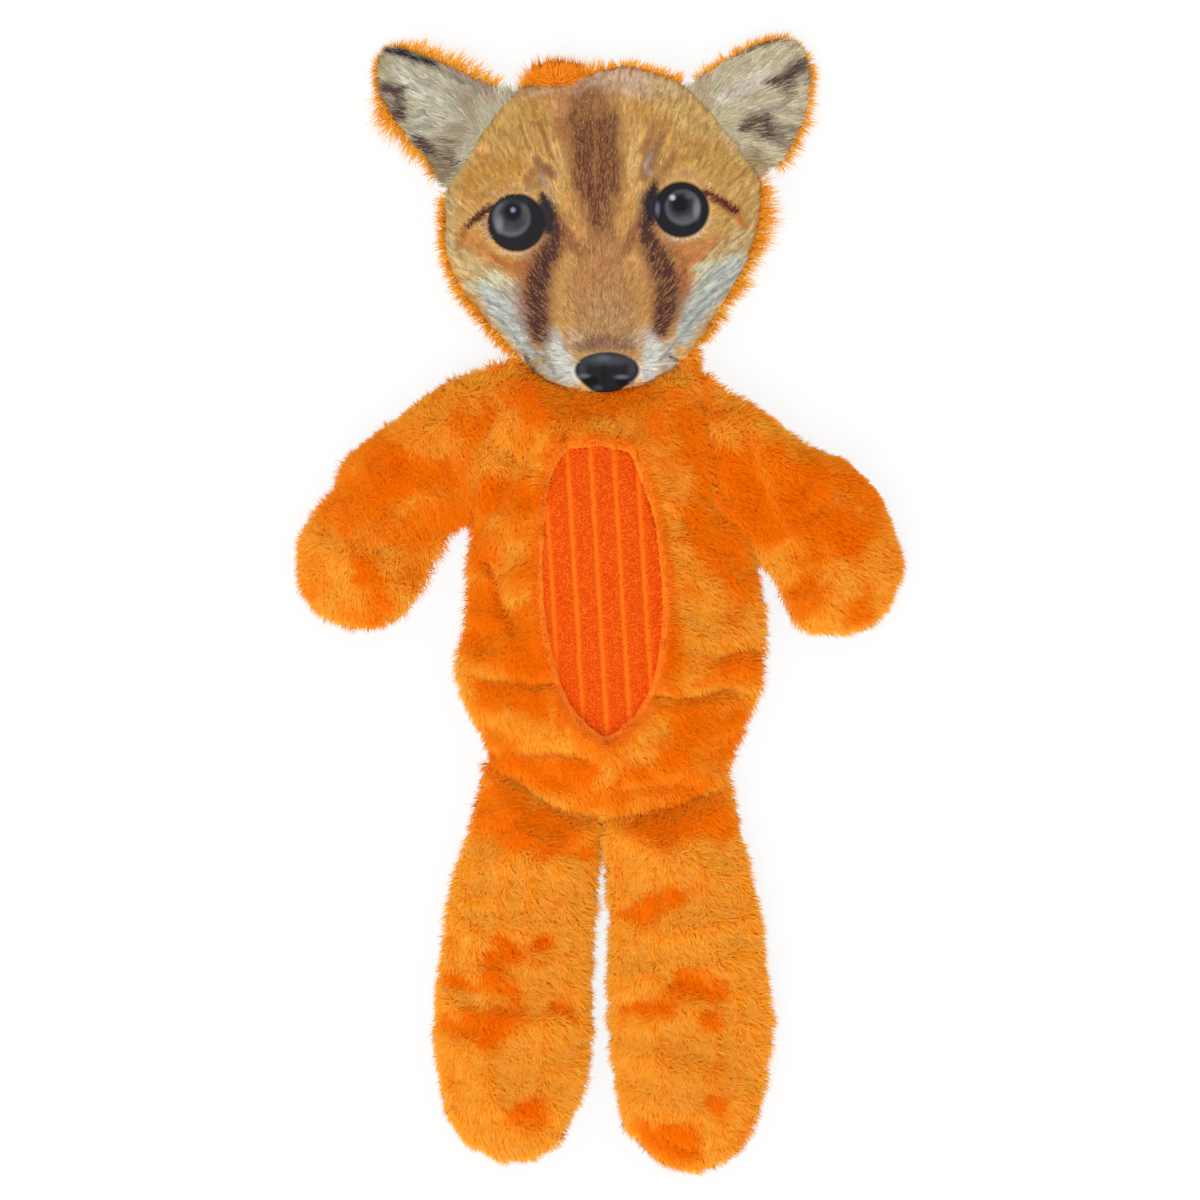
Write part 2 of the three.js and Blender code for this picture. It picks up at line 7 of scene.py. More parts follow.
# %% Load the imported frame
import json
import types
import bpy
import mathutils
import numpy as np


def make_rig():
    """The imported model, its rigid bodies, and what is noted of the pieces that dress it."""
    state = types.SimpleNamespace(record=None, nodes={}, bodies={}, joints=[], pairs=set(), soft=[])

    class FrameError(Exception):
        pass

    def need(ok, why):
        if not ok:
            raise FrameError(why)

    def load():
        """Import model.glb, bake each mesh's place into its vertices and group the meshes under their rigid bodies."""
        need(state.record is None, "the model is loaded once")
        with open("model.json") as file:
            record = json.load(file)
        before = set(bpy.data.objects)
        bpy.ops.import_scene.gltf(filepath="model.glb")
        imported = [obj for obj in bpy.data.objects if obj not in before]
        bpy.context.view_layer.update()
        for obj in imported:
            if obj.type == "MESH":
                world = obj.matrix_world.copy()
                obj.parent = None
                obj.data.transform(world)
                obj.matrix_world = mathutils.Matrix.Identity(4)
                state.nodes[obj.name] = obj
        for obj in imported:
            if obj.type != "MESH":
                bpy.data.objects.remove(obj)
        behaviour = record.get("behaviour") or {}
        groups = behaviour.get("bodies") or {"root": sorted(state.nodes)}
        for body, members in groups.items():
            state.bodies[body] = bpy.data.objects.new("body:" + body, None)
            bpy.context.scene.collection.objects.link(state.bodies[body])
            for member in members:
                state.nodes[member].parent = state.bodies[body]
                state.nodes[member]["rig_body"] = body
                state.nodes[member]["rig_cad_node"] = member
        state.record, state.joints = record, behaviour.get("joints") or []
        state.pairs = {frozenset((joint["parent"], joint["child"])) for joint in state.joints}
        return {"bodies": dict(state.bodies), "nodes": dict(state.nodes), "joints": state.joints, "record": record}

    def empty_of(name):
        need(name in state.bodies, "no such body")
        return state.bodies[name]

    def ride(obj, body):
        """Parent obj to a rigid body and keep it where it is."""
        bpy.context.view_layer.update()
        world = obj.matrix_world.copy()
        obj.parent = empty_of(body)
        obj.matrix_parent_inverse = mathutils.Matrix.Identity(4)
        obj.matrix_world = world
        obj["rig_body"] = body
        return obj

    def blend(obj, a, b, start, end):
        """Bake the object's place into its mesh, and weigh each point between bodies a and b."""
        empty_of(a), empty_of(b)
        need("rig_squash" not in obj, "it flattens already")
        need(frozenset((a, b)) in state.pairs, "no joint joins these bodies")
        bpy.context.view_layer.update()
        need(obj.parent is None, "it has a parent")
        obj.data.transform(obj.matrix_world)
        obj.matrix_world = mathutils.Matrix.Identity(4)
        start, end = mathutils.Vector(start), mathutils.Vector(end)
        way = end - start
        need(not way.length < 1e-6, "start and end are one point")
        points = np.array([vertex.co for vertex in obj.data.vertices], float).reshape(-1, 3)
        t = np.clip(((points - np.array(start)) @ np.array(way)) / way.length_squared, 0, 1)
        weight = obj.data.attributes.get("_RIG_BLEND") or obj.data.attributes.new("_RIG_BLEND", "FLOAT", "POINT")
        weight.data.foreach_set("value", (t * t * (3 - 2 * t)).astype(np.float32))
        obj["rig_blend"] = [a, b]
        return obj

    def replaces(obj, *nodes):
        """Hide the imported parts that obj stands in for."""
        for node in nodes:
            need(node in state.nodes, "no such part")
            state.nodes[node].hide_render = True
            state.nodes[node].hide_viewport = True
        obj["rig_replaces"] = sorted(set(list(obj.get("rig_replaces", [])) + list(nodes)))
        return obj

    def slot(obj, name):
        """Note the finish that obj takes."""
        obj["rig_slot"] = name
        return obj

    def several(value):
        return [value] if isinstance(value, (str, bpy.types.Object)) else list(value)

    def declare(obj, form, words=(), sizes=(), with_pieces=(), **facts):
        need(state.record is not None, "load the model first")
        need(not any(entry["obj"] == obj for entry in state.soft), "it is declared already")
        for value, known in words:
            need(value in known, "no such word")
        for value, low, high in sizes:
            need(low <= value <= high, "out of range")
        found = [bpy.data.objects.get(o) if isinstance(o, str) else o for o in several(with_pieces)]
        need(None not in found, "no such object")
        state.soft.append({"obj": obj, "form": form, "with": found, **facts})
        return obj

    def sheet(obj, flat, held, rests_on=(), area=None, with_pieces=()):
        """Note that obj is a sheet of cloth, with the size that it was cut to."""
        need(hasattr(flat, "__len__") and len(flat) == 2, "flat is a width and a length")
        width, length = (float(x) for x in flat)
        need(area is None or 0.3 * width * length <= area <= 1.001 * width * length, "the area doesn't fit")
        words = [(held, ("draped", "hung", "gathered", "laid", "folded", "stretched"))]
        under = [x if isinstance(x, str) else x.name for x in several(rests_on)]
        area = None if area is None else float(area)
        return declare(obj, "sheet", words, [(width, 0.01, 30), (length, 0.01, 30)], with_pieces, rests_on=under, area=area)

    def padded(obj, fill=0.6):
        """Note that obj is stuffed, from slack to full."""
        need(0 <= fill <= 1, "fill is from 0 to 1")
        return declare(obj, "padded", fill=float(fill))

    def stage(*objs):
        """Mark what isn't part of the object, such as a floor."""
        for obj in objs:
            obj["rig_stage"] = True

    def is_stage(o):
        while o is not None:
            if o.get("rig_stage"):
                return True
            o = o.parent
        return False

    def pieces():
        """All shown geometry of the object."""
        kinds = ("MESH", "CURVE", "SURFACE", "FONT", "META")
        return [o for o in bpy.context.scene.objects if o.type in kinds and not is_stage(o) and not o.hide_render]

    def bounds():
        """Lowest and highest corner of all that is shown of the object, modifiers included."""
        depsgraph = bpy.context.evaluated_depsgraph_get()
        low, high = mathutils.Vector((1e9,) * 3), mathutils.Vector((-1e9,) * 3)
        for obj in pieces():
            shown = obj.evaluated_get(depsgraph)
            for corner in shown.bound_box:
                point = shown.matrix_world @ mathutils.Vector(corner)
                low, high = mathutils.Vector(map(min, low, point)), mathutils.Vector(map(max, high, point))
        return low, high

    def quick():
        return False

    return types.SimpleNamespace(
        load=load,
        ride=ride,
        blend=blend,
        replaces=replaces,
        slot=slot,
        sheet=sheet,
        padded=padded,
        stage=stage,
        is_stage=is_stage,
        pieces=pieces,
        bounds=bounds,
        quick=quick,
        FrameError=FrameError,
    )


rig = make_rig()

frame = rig.load()
cad_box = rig.bounds()

import json
import math

import bmesh
import bpy
import numpy as np
from mathutils import Vector, noise
from mathutils.bvhtree import BVHTree
from mathutils.geometry import delaunay_2d_cdt

MM = 0.001
SIDES = ("left", "right")
scene = bpy.context.scene


def placed(name, data):
    """A new object at the origin, in the scene."""
    made = bpy.data.objects.new(name, data)
    scene.collection.objects.link(made)
    return made


print("nodes", len(frame["nodes"]), "bodies", sorted(frame["bodies"]))

# %% [markdown]
# The camera hangs straight above the toy. A long lens far away shows it almost without perspective,
# as the photograph does, and the frame takes in 480 mm of floor.

# %% Camera
LENS = 200
SENSOR = 36
VIEW_WIDTH = 480 * MM
VIEW_MIDDLE = (0.64 * MM, 0.96 * MM)
VIEW_LEVEL = 10 * MM

camera = placed("camera", bpy.data.cameras.new("camera"))
camera.data.lens, camera.data.sensor_width = LENS, SENSOR
camera.location = (*VIEW_MIDDLE, VIEW_LEVEL + VIEW_WIDTH * LENS / SENSOR)
camera.data.clip_end = 100
scene.camera = camera
print("camera height", round(camera.location.z, 3))

# %% [markdown]
# Node trees read best as sums. A Wire wraps one output socket, so that a plain expression such as
# `1 - mask * 2` adds the Math nodes, or Vector Math nodes when one side is a vector or a colour.
# A Board wraps the tree and adds every other node. Both work for shaders and for Geometry Nodes.

# %% Sums of sockets
class Wire:
    """One output socket of a node, for use in sums."""

    def __init__(self, board, socket):
        self.board, self.socket = board, socket

    def _sum(self, kind, first, second):
        wires = [x for x in (first, second) if isinstance(x, Wire)]
        vector = any(x.socket.type in {"VECTOR", "RGBA"} for x in wires)
        node = "ShaderNodeVectorMath" if vector else "ShaderNodeMath"
        return self.board.add(node, {"operation": kind}, {0: first, 1: second})

    def __add__(self, other):
        return self._sum("ADD", self, other)

    def __radd__(self, other):
        return self._sum("ADD", other, self)

    def __sub__(self, other):
        return self._sum("SUBTRACT", self, other)

    def __rsub__(self, other):
        return self._sum("SUBTRACT", other, self)

    def __mul__(self, other):
        return self._sum("MULTIPLY", self, other)

    def __rmul__(self, other):
        return self._sum("MULTIPLY", other, self)

    def __truediv__(self, other):
        return self._sum("DIVIDE", self, other)

    def __rtruediv__(self, other):
        return self._sum("DIVIDE", other, self)


class Board:
    """A node tree that is built by plain calls."""

    def __init__(self, tree):
        self.tree = tree

    def add(self, kind, settings=None, inputs=None, out=0):
        """A node with its settings, then its sockets' values or links. Gives one of its outputs."""
        node = self.tree.nodes.new(kind)
        for name, value in (settings or {}).items():
            setattr(node, name, value)
        for key, value in (inputs or {}).items():
            self.fill(node.inputs[key], value)
        return Wire(self, node.outputs[out]) if node.outputs else node

    def fill(self, socket, value):
        """Links a wire to a socket, or sets the socket's value."""
        if isinstance(value, Wire):
            self.tree.links.new(value.socket, socket)
        elif socket.type in {"VECTOR", "RGBA"} and isinstance(value, (int, float)):
            socket.default_value = (value,) * len(socket.default_value)
        elif socket.type == "RGBA" and len(value) == 3:
            socket.default_value = (*value, 1)
        else:
            socket.default_value = value

    def other(self, wire, name):
        """Another output of the node that a wire comes from."""
        return Wire(self, wire.socket.node.outputs[name])

    def smooth(self, value, low, high):
        """0 below low, 1 above high and an S-curve between them."""
        settings = {"interpolation_type": "SMOOTHSTEP"}
        inputs = {"Value": value, "From Min": low, "From Max": high}
        return self.add("ShaderNodeMapRange", settings, inputs)

    def mix(self, factor, first, second):
        """A colour between two."""
        return self.add("ShaderNodeMix", {"data_type": "RGBA"}, {0: factor, 6: first, 7: second}, 2)

    def vector(self, kind, *values, out=0):
        return self.add("ShaderNodeVectorMath", {"operation": kind}, dict(enumerate(values)), out)

    def number(self, kind, *values):
        return self.add("ShaderNodeMath", {"operation": kind}, dict(enumerate(values)))

    def parts(self, wire):
        """The three numbers of a vector."""
        split = self.add("ShaderNodeSeparateXYZ", {}, {0: wire})
        return [self.other(split, axis) for axis in "XYZ"]

    def joined(self, x, y, z=0.0):
        """A vector of three numbers."""
        return self.add("ShaderNodeCombineXYZ", {}, {"X": x, "Y": y, "Z": z})

    def cloud(self, place, scale, detail=2, rough=0.5, out=0):
        """Noise in space: out is 0 for a number and 1 for a colour."""
        inputs = {"Vector": place, "Scale": scale, "Detail": detail, "Roughness": rough}
        return self.add("ShaderNodeTexNoise", {}, inputs, out)

    def object_place(self):
        """The place on a piece, as its own object has it."""
        return self.add("ShaderNodeTexCoord", {}, {}, "Object")


def colour(code):
    """A colour as seen on a screen, such as e8963a, as the linear numbers that Blender mixes."""
    parts = [int(code[i:i + 2], 16) / 255 for i in (0, 2, 4)]
    return tuple(p / 12.92 if p <= 0.04045 else ((p + 0.055) / 1.055) ** 2.4 for p in parts)


# %% [markdown]
# Each skin starts from the CAD layers: their seam lines give its outline, and rays cast on to them
# give its heights. So a skin has the size and place of the solids that it stands for.

# %% Read seams and heights from the CAD layers
RIM_TOLERANCE = 0.001 * MM


def welded(node):
    """A CAD node's triangles, joined."""
    mesh = bmesh.new()
    mesh.from_mesh(frame["nodes"][node].data)
    bmesh.ops.remove_doubles(mesh, verts=mesh.verts, dist=RIM_TOLERANCE)
    return mesh


def feet_of(mesh):
    """The lower ends of a mesh's upright edges."""
    ends = [sorted(edge.verts, key=lambda v: v.co.z) for edge in mesh.edges]
    return [low for low, high in ends if (low.co.xy - high.co.xy).length < RIM_TOLERANCE]


def seam_line(node):
    """The (x, y) points of a layer's seam, anticlockwise: the feet of its upright edges."""
    mesh = welded(node)
    feet = set(feet_of(mesh))
    here = next(v for v in mesh.verts if v in feet)
    loop, seen = [], set()
    while here is not None:
        loop.append(here.co.xy.copy())
        seen.add(here)
        ahead = [e.other_vert(here) for e in here.link_edges]
        here = next((v for v in ahead if v in feet and v not in seen), None)
    area = sum(a.cross(b) for a, b in zip(loop, loop[1:] + loop[:1], strict=True))
    mesh.free()
    return loop if area > 0 else loop[::-1]


def surface(*nodes):
    """A tree for casting rays on several CAD nodes at once."""
    points, faces = [], []
    for node in nodes:
        mesh = frame["nodes"][node].data
        faces += [[len(points) + i for i in p.vertices] for p in mesh.polygons]
        points += [v.co.copy() for v in mesh.vertices]
    return BVHTree.FromPolygons(points, faces)


RAY_START = 0.2
RING = 1.2 * MM
NEAR = [Vector((x, y, 0)) * RING for x, y in ((0, 0), (1, 0), (-1, 0), (0, 1), (0, -1))]


def level(tree, x, y, above):
    """The height of a surface round (x, y), seen from above or below, or None."""
    way = Vector((0, 0, -1 if above else 1))
    start = Vector((x, y, RAY_START if above else -RAY_START))
    hits = [tree.ray_cast(start + near, way)[0] for near in NEAR]
    found = [hit.z for hit in hits if hit is not None]
    return sum(found) / len(found) if found else None


BODY_SEAM = seam_line("body_back")
print("body seam points", len(BODY_SEAM))

# %% [markdown]
# A skin is a closed pillow: points spread evenly over the outline are joined by a Delaunay
# triangulation, once for the front and once for the back, and both share the points of the seam.

# %% Outlines and pillows
SEAM_LEVEL = 10 * MM


def longest(loop):
    """The index of a loop's longest edge."""
    return max(range(len(loop)), key=lambda i: (loop[(i + 1) % len(loop)] - loop[i]).length)


def spliced(host, guest):
    """A loop with another one joined in, where the guest's longest edge faces one of the host's."""
    root = longest(guest)
    guest = guest[root + 1:] + guest[:root + 1]
    facing = (guest[0] + guest[-1]) / 2
    middles = [(a + b) / 2 for a, b in zip(host, host[1:] + host[:1], strict=True)]
    edge = min(range(len(host)), key=lambda i: (middles[i] - facing).length)
    return host[:edge + 1] + guest + host[edge + 1:]


CORNER_CUTS = 2


def rounded(loop):
    """A closed line with its corners cut, which makes a smooth one of it."""
    for _ in range(CORNER_CUTS):
        pairs = list(zip(loop, loop[1:] + loop[:1], strict=True))
        loop = [p for a, b in pairs for p in (a.lerp(b, 0.25), a.lerp(b, 0.75))]
    return loop


def even(loop, step):
    """Points a step apart along a closed line."""
    out, left = [], 0.0
    for a, b in zip(loop, loop[1:] + loop[:1], strict=True):
        span = (b - a).length
        while left < span:
            out.append(a.lerp(b, left / span))
            left += step
        left -= span
    return out


def far_from(points, line, closed=True):
    """The distance of each (x, y) row from a line, and the share of the way along it."""
    line = np.array([tuple(p)[:2] for p in line], float)
    ends = np.roll(line, -1, axis=0) if closed else line[1:]
    starts = line if closed else line[:-1]
    best, place = np.full(len(points), 1e9), np.zeros(len(points))
    for i, (a, b) in enumerate(zip(starts, ends, strict=True)):
        run = b - a
        share = np.clip(((points - a) @ run) / max(run @ run, 1e-18), 0, 1)
        away = np.linalg.norm(points - (a + share[:, None] * run), axis=1)
        nearer = away < best
        best[nearer], place[nearer] = away[nearer], (i + share[nearer]) / len(starts)
    return best, place


def inside(points, loop):
    """Whether each (x, y) row lies inside a closed loop."""
    loop = np.array([tuple(p)[:2] for p in loop], float)
    found = np.zeros(len(points), bool)
    x, y = points[:, 0], points[:, 1]
    for (ax, ay), (bx, by) in zip(loop, np.roll(loop, -1, axis=0), strict=True):
        crosses = (ay > y) != (by > y)
        with np.errstate(divide="ignore", invalid="ignore"):
            found ^= crosses & (x < (bx - ax) * (y - ay) / (by - ay) + ax)
    return found


EDGE_GAP = 0.55


def pillow(name, loop, step, top, bottom, seam=lambda x, y: SEAM_LEVEL):
    """A closed skin over an outline, with its seam's points in the vertex group seam."""
    edge = even(rounded(loop), step)
    spots = np.array([tuple(p) for p in edge])
    (x0, y0), (x1, y1) = spots.min(axis=0), spots.max(axis=0)
    rows = np.arange(y0, y1, step * math.sqrt(0.75))
    columns = np.arange(x0, x1, step)
    grid = np.array([(x + step / 2 * (i % 2), y) for i, y in enumerate(rows) for x in columns])
    keep = inside(grid, edge) & (far_from(grid, edge)[0] > EDGE_GAP * step)
    count = len(edge)
    flat = edge + [Vector(p) for p in grid[keep]]
    ring = list(range(count))
    made = delaunay_2d_cdt(flat, [(i, (i + 1) % count) for i in ring], [ring], 1, 1e-9)
    flat, triangles, origins = made[0], made[2], made[3]
    on_seam = [any(i < count for i in origin) for origin in origins]
    points = [(p.x, p.y, seam(*p) if s else top(*p)) for p, s in zip(flat, on_seam, strict=True)]
    under = {}
    for i, (p, s) in enumerate(zip(flat, on_seam, strict=True)):
        under[i] = i if s else len(points)
        if not s:
            points.append((p.x, p.y, bottom(*p)))
    faces = [list(t) for t in triangles] + [[under[i] for i in reversed(t)] for t in triangles]
    mesh = bpy.data.meshes.new(name)
    mesh.from_pydata(points, [], faces)
    skin = placed(name, mesh)
    group = skin.vertex_groups.new(name="seam")
    group.add([i for i, s in enumerate(on_seam) if s], 1, "REPLACE")
    print(name, "points", len(points), "faces", len(faces))
    return skin


def rows_of(items, field):
    """A vector field of mesh items as rows."""
    rows = np.empty(len(items) * 3, np.float32)
    items.foreach_get(field, rows)
    return rows.reshape(-1, 3).astype(float)


def spots_of(skin):
    """A skin's vertices as rows."""
    return rows_of(skin.data.vertices, "co")


def put_spots(skin, rows):
    skin.data.vertices.foreach_set("co", rows.astype(np.float32).ravel())
    skin.data.update()


# %% [markdown]
# Real plush is sewn slack and then plumped by what is inside. Blender's cloth gives that: the seam is
# pinned, the cloth is let a few per cent too large, and a light pressure fills it into soft creases.

# %% Plump a skin by cloth simulation
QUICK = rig.quick()
RELAX_ROUNDS = 40


def relaxed(skin, line, reach):
    """Draws the skin smoothly over a sewn line, as cloth cut in one piece lies."""
    rows = spots_of(skin)
    away, _ = far_from(rows[:, :2], line, closed=False)
    mesh = bmesh.new()
    mesh.from_mesh(skin.data)
    mesh.verts.ensure_lookup_table()
    free = [v.index for v in mesh.verts if away[v.index] < reach]
    pinned = {v.index for v in mesh.verts if abs(v.co.z - SEAM_LEVEL) < 1e-6}
    beside = {i: [e.other_vert(mesh.verts[i]).index for e in mesh.verts[i].link_edges] for i in free}
    mesh.free()
    for _ in range(RELAX_ROUNDS):
        fresh = {i: rows[beside[i], 2].mean() for i in free if i not in pinned}
        for i, z in fresh.items():
            rows[i, 2] = z
    put_spots(skin, rows)


def made_real(skin, modifier):
    """The mesh that a skin has with its modifier, which is then taken off."""
    seen = skin.evaluated_get(bpy.context.evaluated_depsgraph_get())
    mesh = bpy.data.meshes.new_from_object(seen)
    skin.modifiers.remove(modifier)
    return mesh


CLOTH_FRAMES = 14
CLOTH = {"quality": 5, "mass": 0.2, "air_damping": 4, "tension_stiffness": 12,
         "compression_stiffness": 12, "shear_stiffness": 4, "bending_stiffness": 0.3,
         "use_pressure": True, "vertex_group_mass": "seam"}
UNEVEN, UNEVEN_SCALE = 0.3 * MM, 90
LOWEST = 0.4 * MM


def plumped(skin, pressure, slack, cap):
    """Runs the cloth simulation and keeps its result, then smooths it by one subdivision."""
    before = spots_of(skin)
    rows = before.copy()
    for i, spot in enumerate(before):
        rows[i, 2] += UNEVEN * noise.noise(Vector(spot) * UNEVEN_SCALE)
    put_spots(skin, rows)
    if not QUICK:
        cloth = skin.modifiers.new("sewn cloth", "CLOTH")
        settings = cloth.settings
        for key, value in CLOTH.items():
            setattr(settings, key, value)
        settings.uniform_pressure_force, settings.shrink_min = pressure, -slack
        settings.effector_weights.gravity = 0
        cloth.point_cache.frame_start, cloth.point_cache.frame_end = 1, CLOTH_FRAMES
        for step in range(1, CLOTH_FRAMES + 1):
            scene.frame_set(step)
        seen = skin.evaluated_get(bpy.context.evaluated_depsgraph_get()).to_mesh()
        move = rows_of(seen.vertices, "co") - before
        size = np.linalg.norm(move, axis=1, keepdims=True)
        move *= np.minimum(1, cap / np.maximum(size, 1e-12))
        skin.modifiers.remove(cloth)
        scene.frame_set(1)
        put_spots(skin, before + move)
        print(skin.name, "plumped by up to", round(float(size.max()) * 1000, 1), "mm")
    finer = skin.modifiers.new("finer", "SUBSURF")
    finer.levels = finer.render_levels = 1
    skin.data = made_real(skin, finer)
    rows = spots_of(skin)
    rows[:, 2] = np.maximum(rows[:, 2], LOWEST)
    put_spots(skin, rows)
    return skin


def in_mm(line):
    """The points of a line that is given in millimetres."""
    return [Vector(p) * MM for p in line]


def dented(skin, line, width, depth):
    """Presses a crease into the front of a skin along a line in millimetres."""
    rows = spots_of(skin)
    away, _ = far_from(rows[:, :2], in_mm(line), closed=False)
    front = rows[:, 2] > SEAM_LEVEL
    rows[:, 2] -= front * depth * MM * np.exp(-((away / (width * MM)) ** 2))
    put_spots(skin, rows)


# %% [markdown]
# Body and arms are one skin, because the plush runs over the shoulders without a break. It is drawn
# smoothly over the shoulder seams, plumped, and only then cut in three where the arms' bend starts.

# %% Coat of body and arms
STEP = 2.6 * MM
OFF_SEAM = 0.4 * MM
SHOULDER_REACH = 11 * MM
FULL, LIGHT = (3, 0.04, 2.5 * MM), (1, 0.02, 1 * MM)  # pressure, slack and the most it may move
ARMS = {side: seam_line(f"arm_{side}_back") for side in SIDES}
coat_line = spliced(spliced(BODY_SEAM, ARMS["left"]), ARMS["right"])
coat_front = surface("body_front", "belly_panel", "arm_left_front", "arm_right_front")
coat_back = surface("body_back", "arm_left_back", "arm_right_back")


def front_of(tree):
    return lambda x, y: level(tree, x, y, True) or SEAM_LEVEL + OFF_SEAM


def back_of(tree):
    def found(x, y):
        z = level(tree, x, y, False)
        return SEAM_LEVEL - OFF_SEAM if z is None else max(z, LOWEST)
    return found


coat = pillow("coat", coat_line, STEP, front_of(coat_front), back_of(coat_back))
SHOULDERS = {}
for side, loop in ARMS.items():
    root = longest(loop)
    SHOULDERS[side] = sorted((loop[root], loop[(root + 1) % len(loop)]), key=lambda p: -p.y)
    relaxed(coat, SHOULDERS[side], SHOULDER_REACH)
coat = plumped(coat, *FULL)

# %% [markdown]
# The ribbed panel lies in a window of the coat, so the coat is pressed down below it. The panel's
# outline and heights come from its CAD solid. Its ribs are a little deeper, as on the real cloth.

# %% Where the belly panel lies
RIB_PITCH, RIB_CHANNEL, RIB_DEPTH = 9.2 * MM, 2.4 * MM, 1.1 * MM
RIB_FLAT, RIB_SLOPE = 0.25 * RIB_CHANNEL, 0.45 * RIB_CHANNEL
RIB_LEAN = math.tan(math.radians(3.4))


def belly_outline():
    mesh = welded("belly_panel")
    feet = [low.co.xy.copy() for low in feet_of(mesh)]
    mesh.free()
    middle = sum(feet, Vector((0, 0))) / len(feet)
    return sorted(feet, key=lambda p: math.atan2(*(p - middle)))[::-1], middle


BELLY_LINE, BELLY_MIDDLE = belly_outline()
belly_top = surface("belly_panel")


def rib(x, y):
    """How deep the bare channels lie at a place, from 0 to 1."""
    along = (x + (y - BELLY_MIDDLE.y) * RIB_LEAN) / RIB_PITCH
    off = abs(along - round(along)) * RIB_PITCH
    share = min(1, max(0, (off - RIB_FLAT) / RIB_SLOPE))
    return 1 - share * share * (3 - 2 * share)


CREST = max(level(belly_top, *BELLY_MIDDLE, True), 0)
PANEL_LIFT = 0.6 * MM
HOLLOW_ACROSS, HOLLOW_ALONG = 3.4, 0.9
PANEL_BED, BED_EDGE = 2.6 * MM, 2 * MM


def crown(x, y):
    """The height of the panel's bands at a place."""
    off = Vector((x, y)) - BELLY_MIDDLE
    return CREST + PANEL_LIFT - HOLLOW_ACROSS * off.x ** 2 - HOLLOW_ALONG * off.y ** 2


def belly_height(x, y):
    return crown(x, y) - RIB_DEPTH * rib(x, y)


def bedded(skin):
    """Presses the front of the coat down where the panel lies on it."""
    rows = spots_of(skin)
    within = inside(rows[:, :2], BELLY_LINE) & (rows[:, 2] > SEAM_LEVEL)
    away, _ = far_from(rows[:, :2], BELLY_LINE)
    for i in np.flatnonzero(within):
        bed = crown(*rows[i, :2]) - PANEL_BED
        rows[i, 2] += (min(rows[i, 2], bed) - rows[i, 2]) * min(1, away[i] / BED_EDGE)
    put_spots(skin, rows)


# %% Creases of the coat, seen on the real toy
CREASES = [
    # points, width and depth, all in millimetres
    ([(-12.9, 86), (-12.9, 62)], 1.4, 2.0),
    ([(-39, 62), (-31, 56), (-23, 52)], 3.0, 1.8),
    ([(-40, 79), (-42, 71), (-47, 59), (-49, 47), (-50, 33)], 2.2, 2.4),
    ([(40, 80), (44.6, 71), (46.6, 63), (46.6, 47), (52, 41)], 2.4, 2.6),
    ([(40, 41), (48, 36), (57, 28), (62, 21), (65, 13)], 2.0, 2.6),
    ([(28, 37), (32.6, 32), (36, 27)], 1.4, 1.8),
    ([(-45, 17), (-41, 12), (-37, 0), (-33, -11)], 2.4, 3.0),
    ([(-45, -30), (-37, -30.6), (-27, -32), (-19, -32.6)], 2.4, 3.2),
    ([(-43, -60), (-27, -59), (-15, -59), (-5, -62)], 3.0, 2.4),
    ([(47, -22), (56, -19), (63, -19)], 3.0, 3.0),
    ([(24, -37.4), (36, -38), (45, -35.4), (54, -35)], 2.6, 3.0),
    ([(10, -73), (36, -72)], 3.4, 1.8),
    ([(-100, 26), (-92, 20), (-84, 22)], 3.0, 1.4),
    ([(96, 44), (86, 36), (78, 34)], 3.0, 1.6),
]
for line, width, depth in CREASES:
    dented(coat, line, width, depth)
bedded(coat)

# %% [markdown]
# A joint bends cloth over some way, so an arm's piece starts a little inside the body. There it
# follows the body, so that the cut stays closed, and it turns with the arm beyond the shoulder.

# %% Cut the coat where the arms start to bend
BEND = 9 * MM
STRIP_TOP = -2 * MM


def across(side):
    """A shoulder's upper end, its direction down the seam and the way out of the body."""
    high, low = SHOULDERS[side]
    down = (low - high).normalized()
    out = Vector((-down.y, down.x)) if side == "right" else Vector((down.y, -down.x))
    return high, down, out, (low - high).length


def in_arm(side):
    """Whether a place belongs to an arm, with the strip of the body where its bend starts."""
    high, down, out, length = across(side)

    def test(spot):
        away = (spot.xy - high).dot(out)
        along = (spot.xy - high).dot(down)
        return away > 0 or (away > -BEND and STRIP_TOP < along < length)
    return test


def closed(mesh, open_edges):
    """Closes the open side of a cut skin. Its new faces are marked as a lid, where no pile grows."""
    lid = mesh.faces.layers.float.new("lid")
    caps = bmesh.ops.holes_fill(mesh, edges=open_edges)["faces"]
    for face in bmesh.ops.triangulate(mesh, faces=caps)["faces"]:
        face[lid] = 1
    bmesh.ops.recalc_face_normals(mesh, faces=mesh.faces)


def smoothed(skin):
    for face in skin.data.polygons:
        face.use_smooth = True
    return skin


def from_bmesh(mesh, name):
    """A new object that takes over a bmesh."""
    data = bpy.data.meshes.new(name)
    mesh.to_mesh(data)
    mesh.free()
    return placed(name, data)


def cut_out(skin, name, test):
    """A new piece from the faces that pass a test, its open edges closed."""
    mesh = bmesh.new()
    mesh.from_mesh(skin.data)
    mesh.normal_update()
    bmesh.ops.delete(mesh, geom=[f for f in mesh.faces if not test(f)], context="FACES")
    closed(mesh, [e for e in mesh.edges if e.is_boundary])
    return smoothed(from_bmesh(mesh, name))


arm_tests = {f"arm_{side}": in_arm(side) for side in SIDES}
skins = {"torso": cut_out(coat, "torso_coat", lambda f: not any(
    test(f.calc_center_median()) for test in arm_tests.values()))}
for arm, test in arm_tests.items():
    skins[arm] = cut_out(coat, f"{arm}_coat", lambda f, test=test: test(f.calc_center_median()))
bpy.data.objects.remove(coat)
print({name: len(s.data.polygons) for name, s in skins.items()})

# %% [markdown]
# The legs hang from the body's hem, which lies over them. Each leg's skin runs on under the hem and
# is thinner there, so that no gap opens when the leg swings.

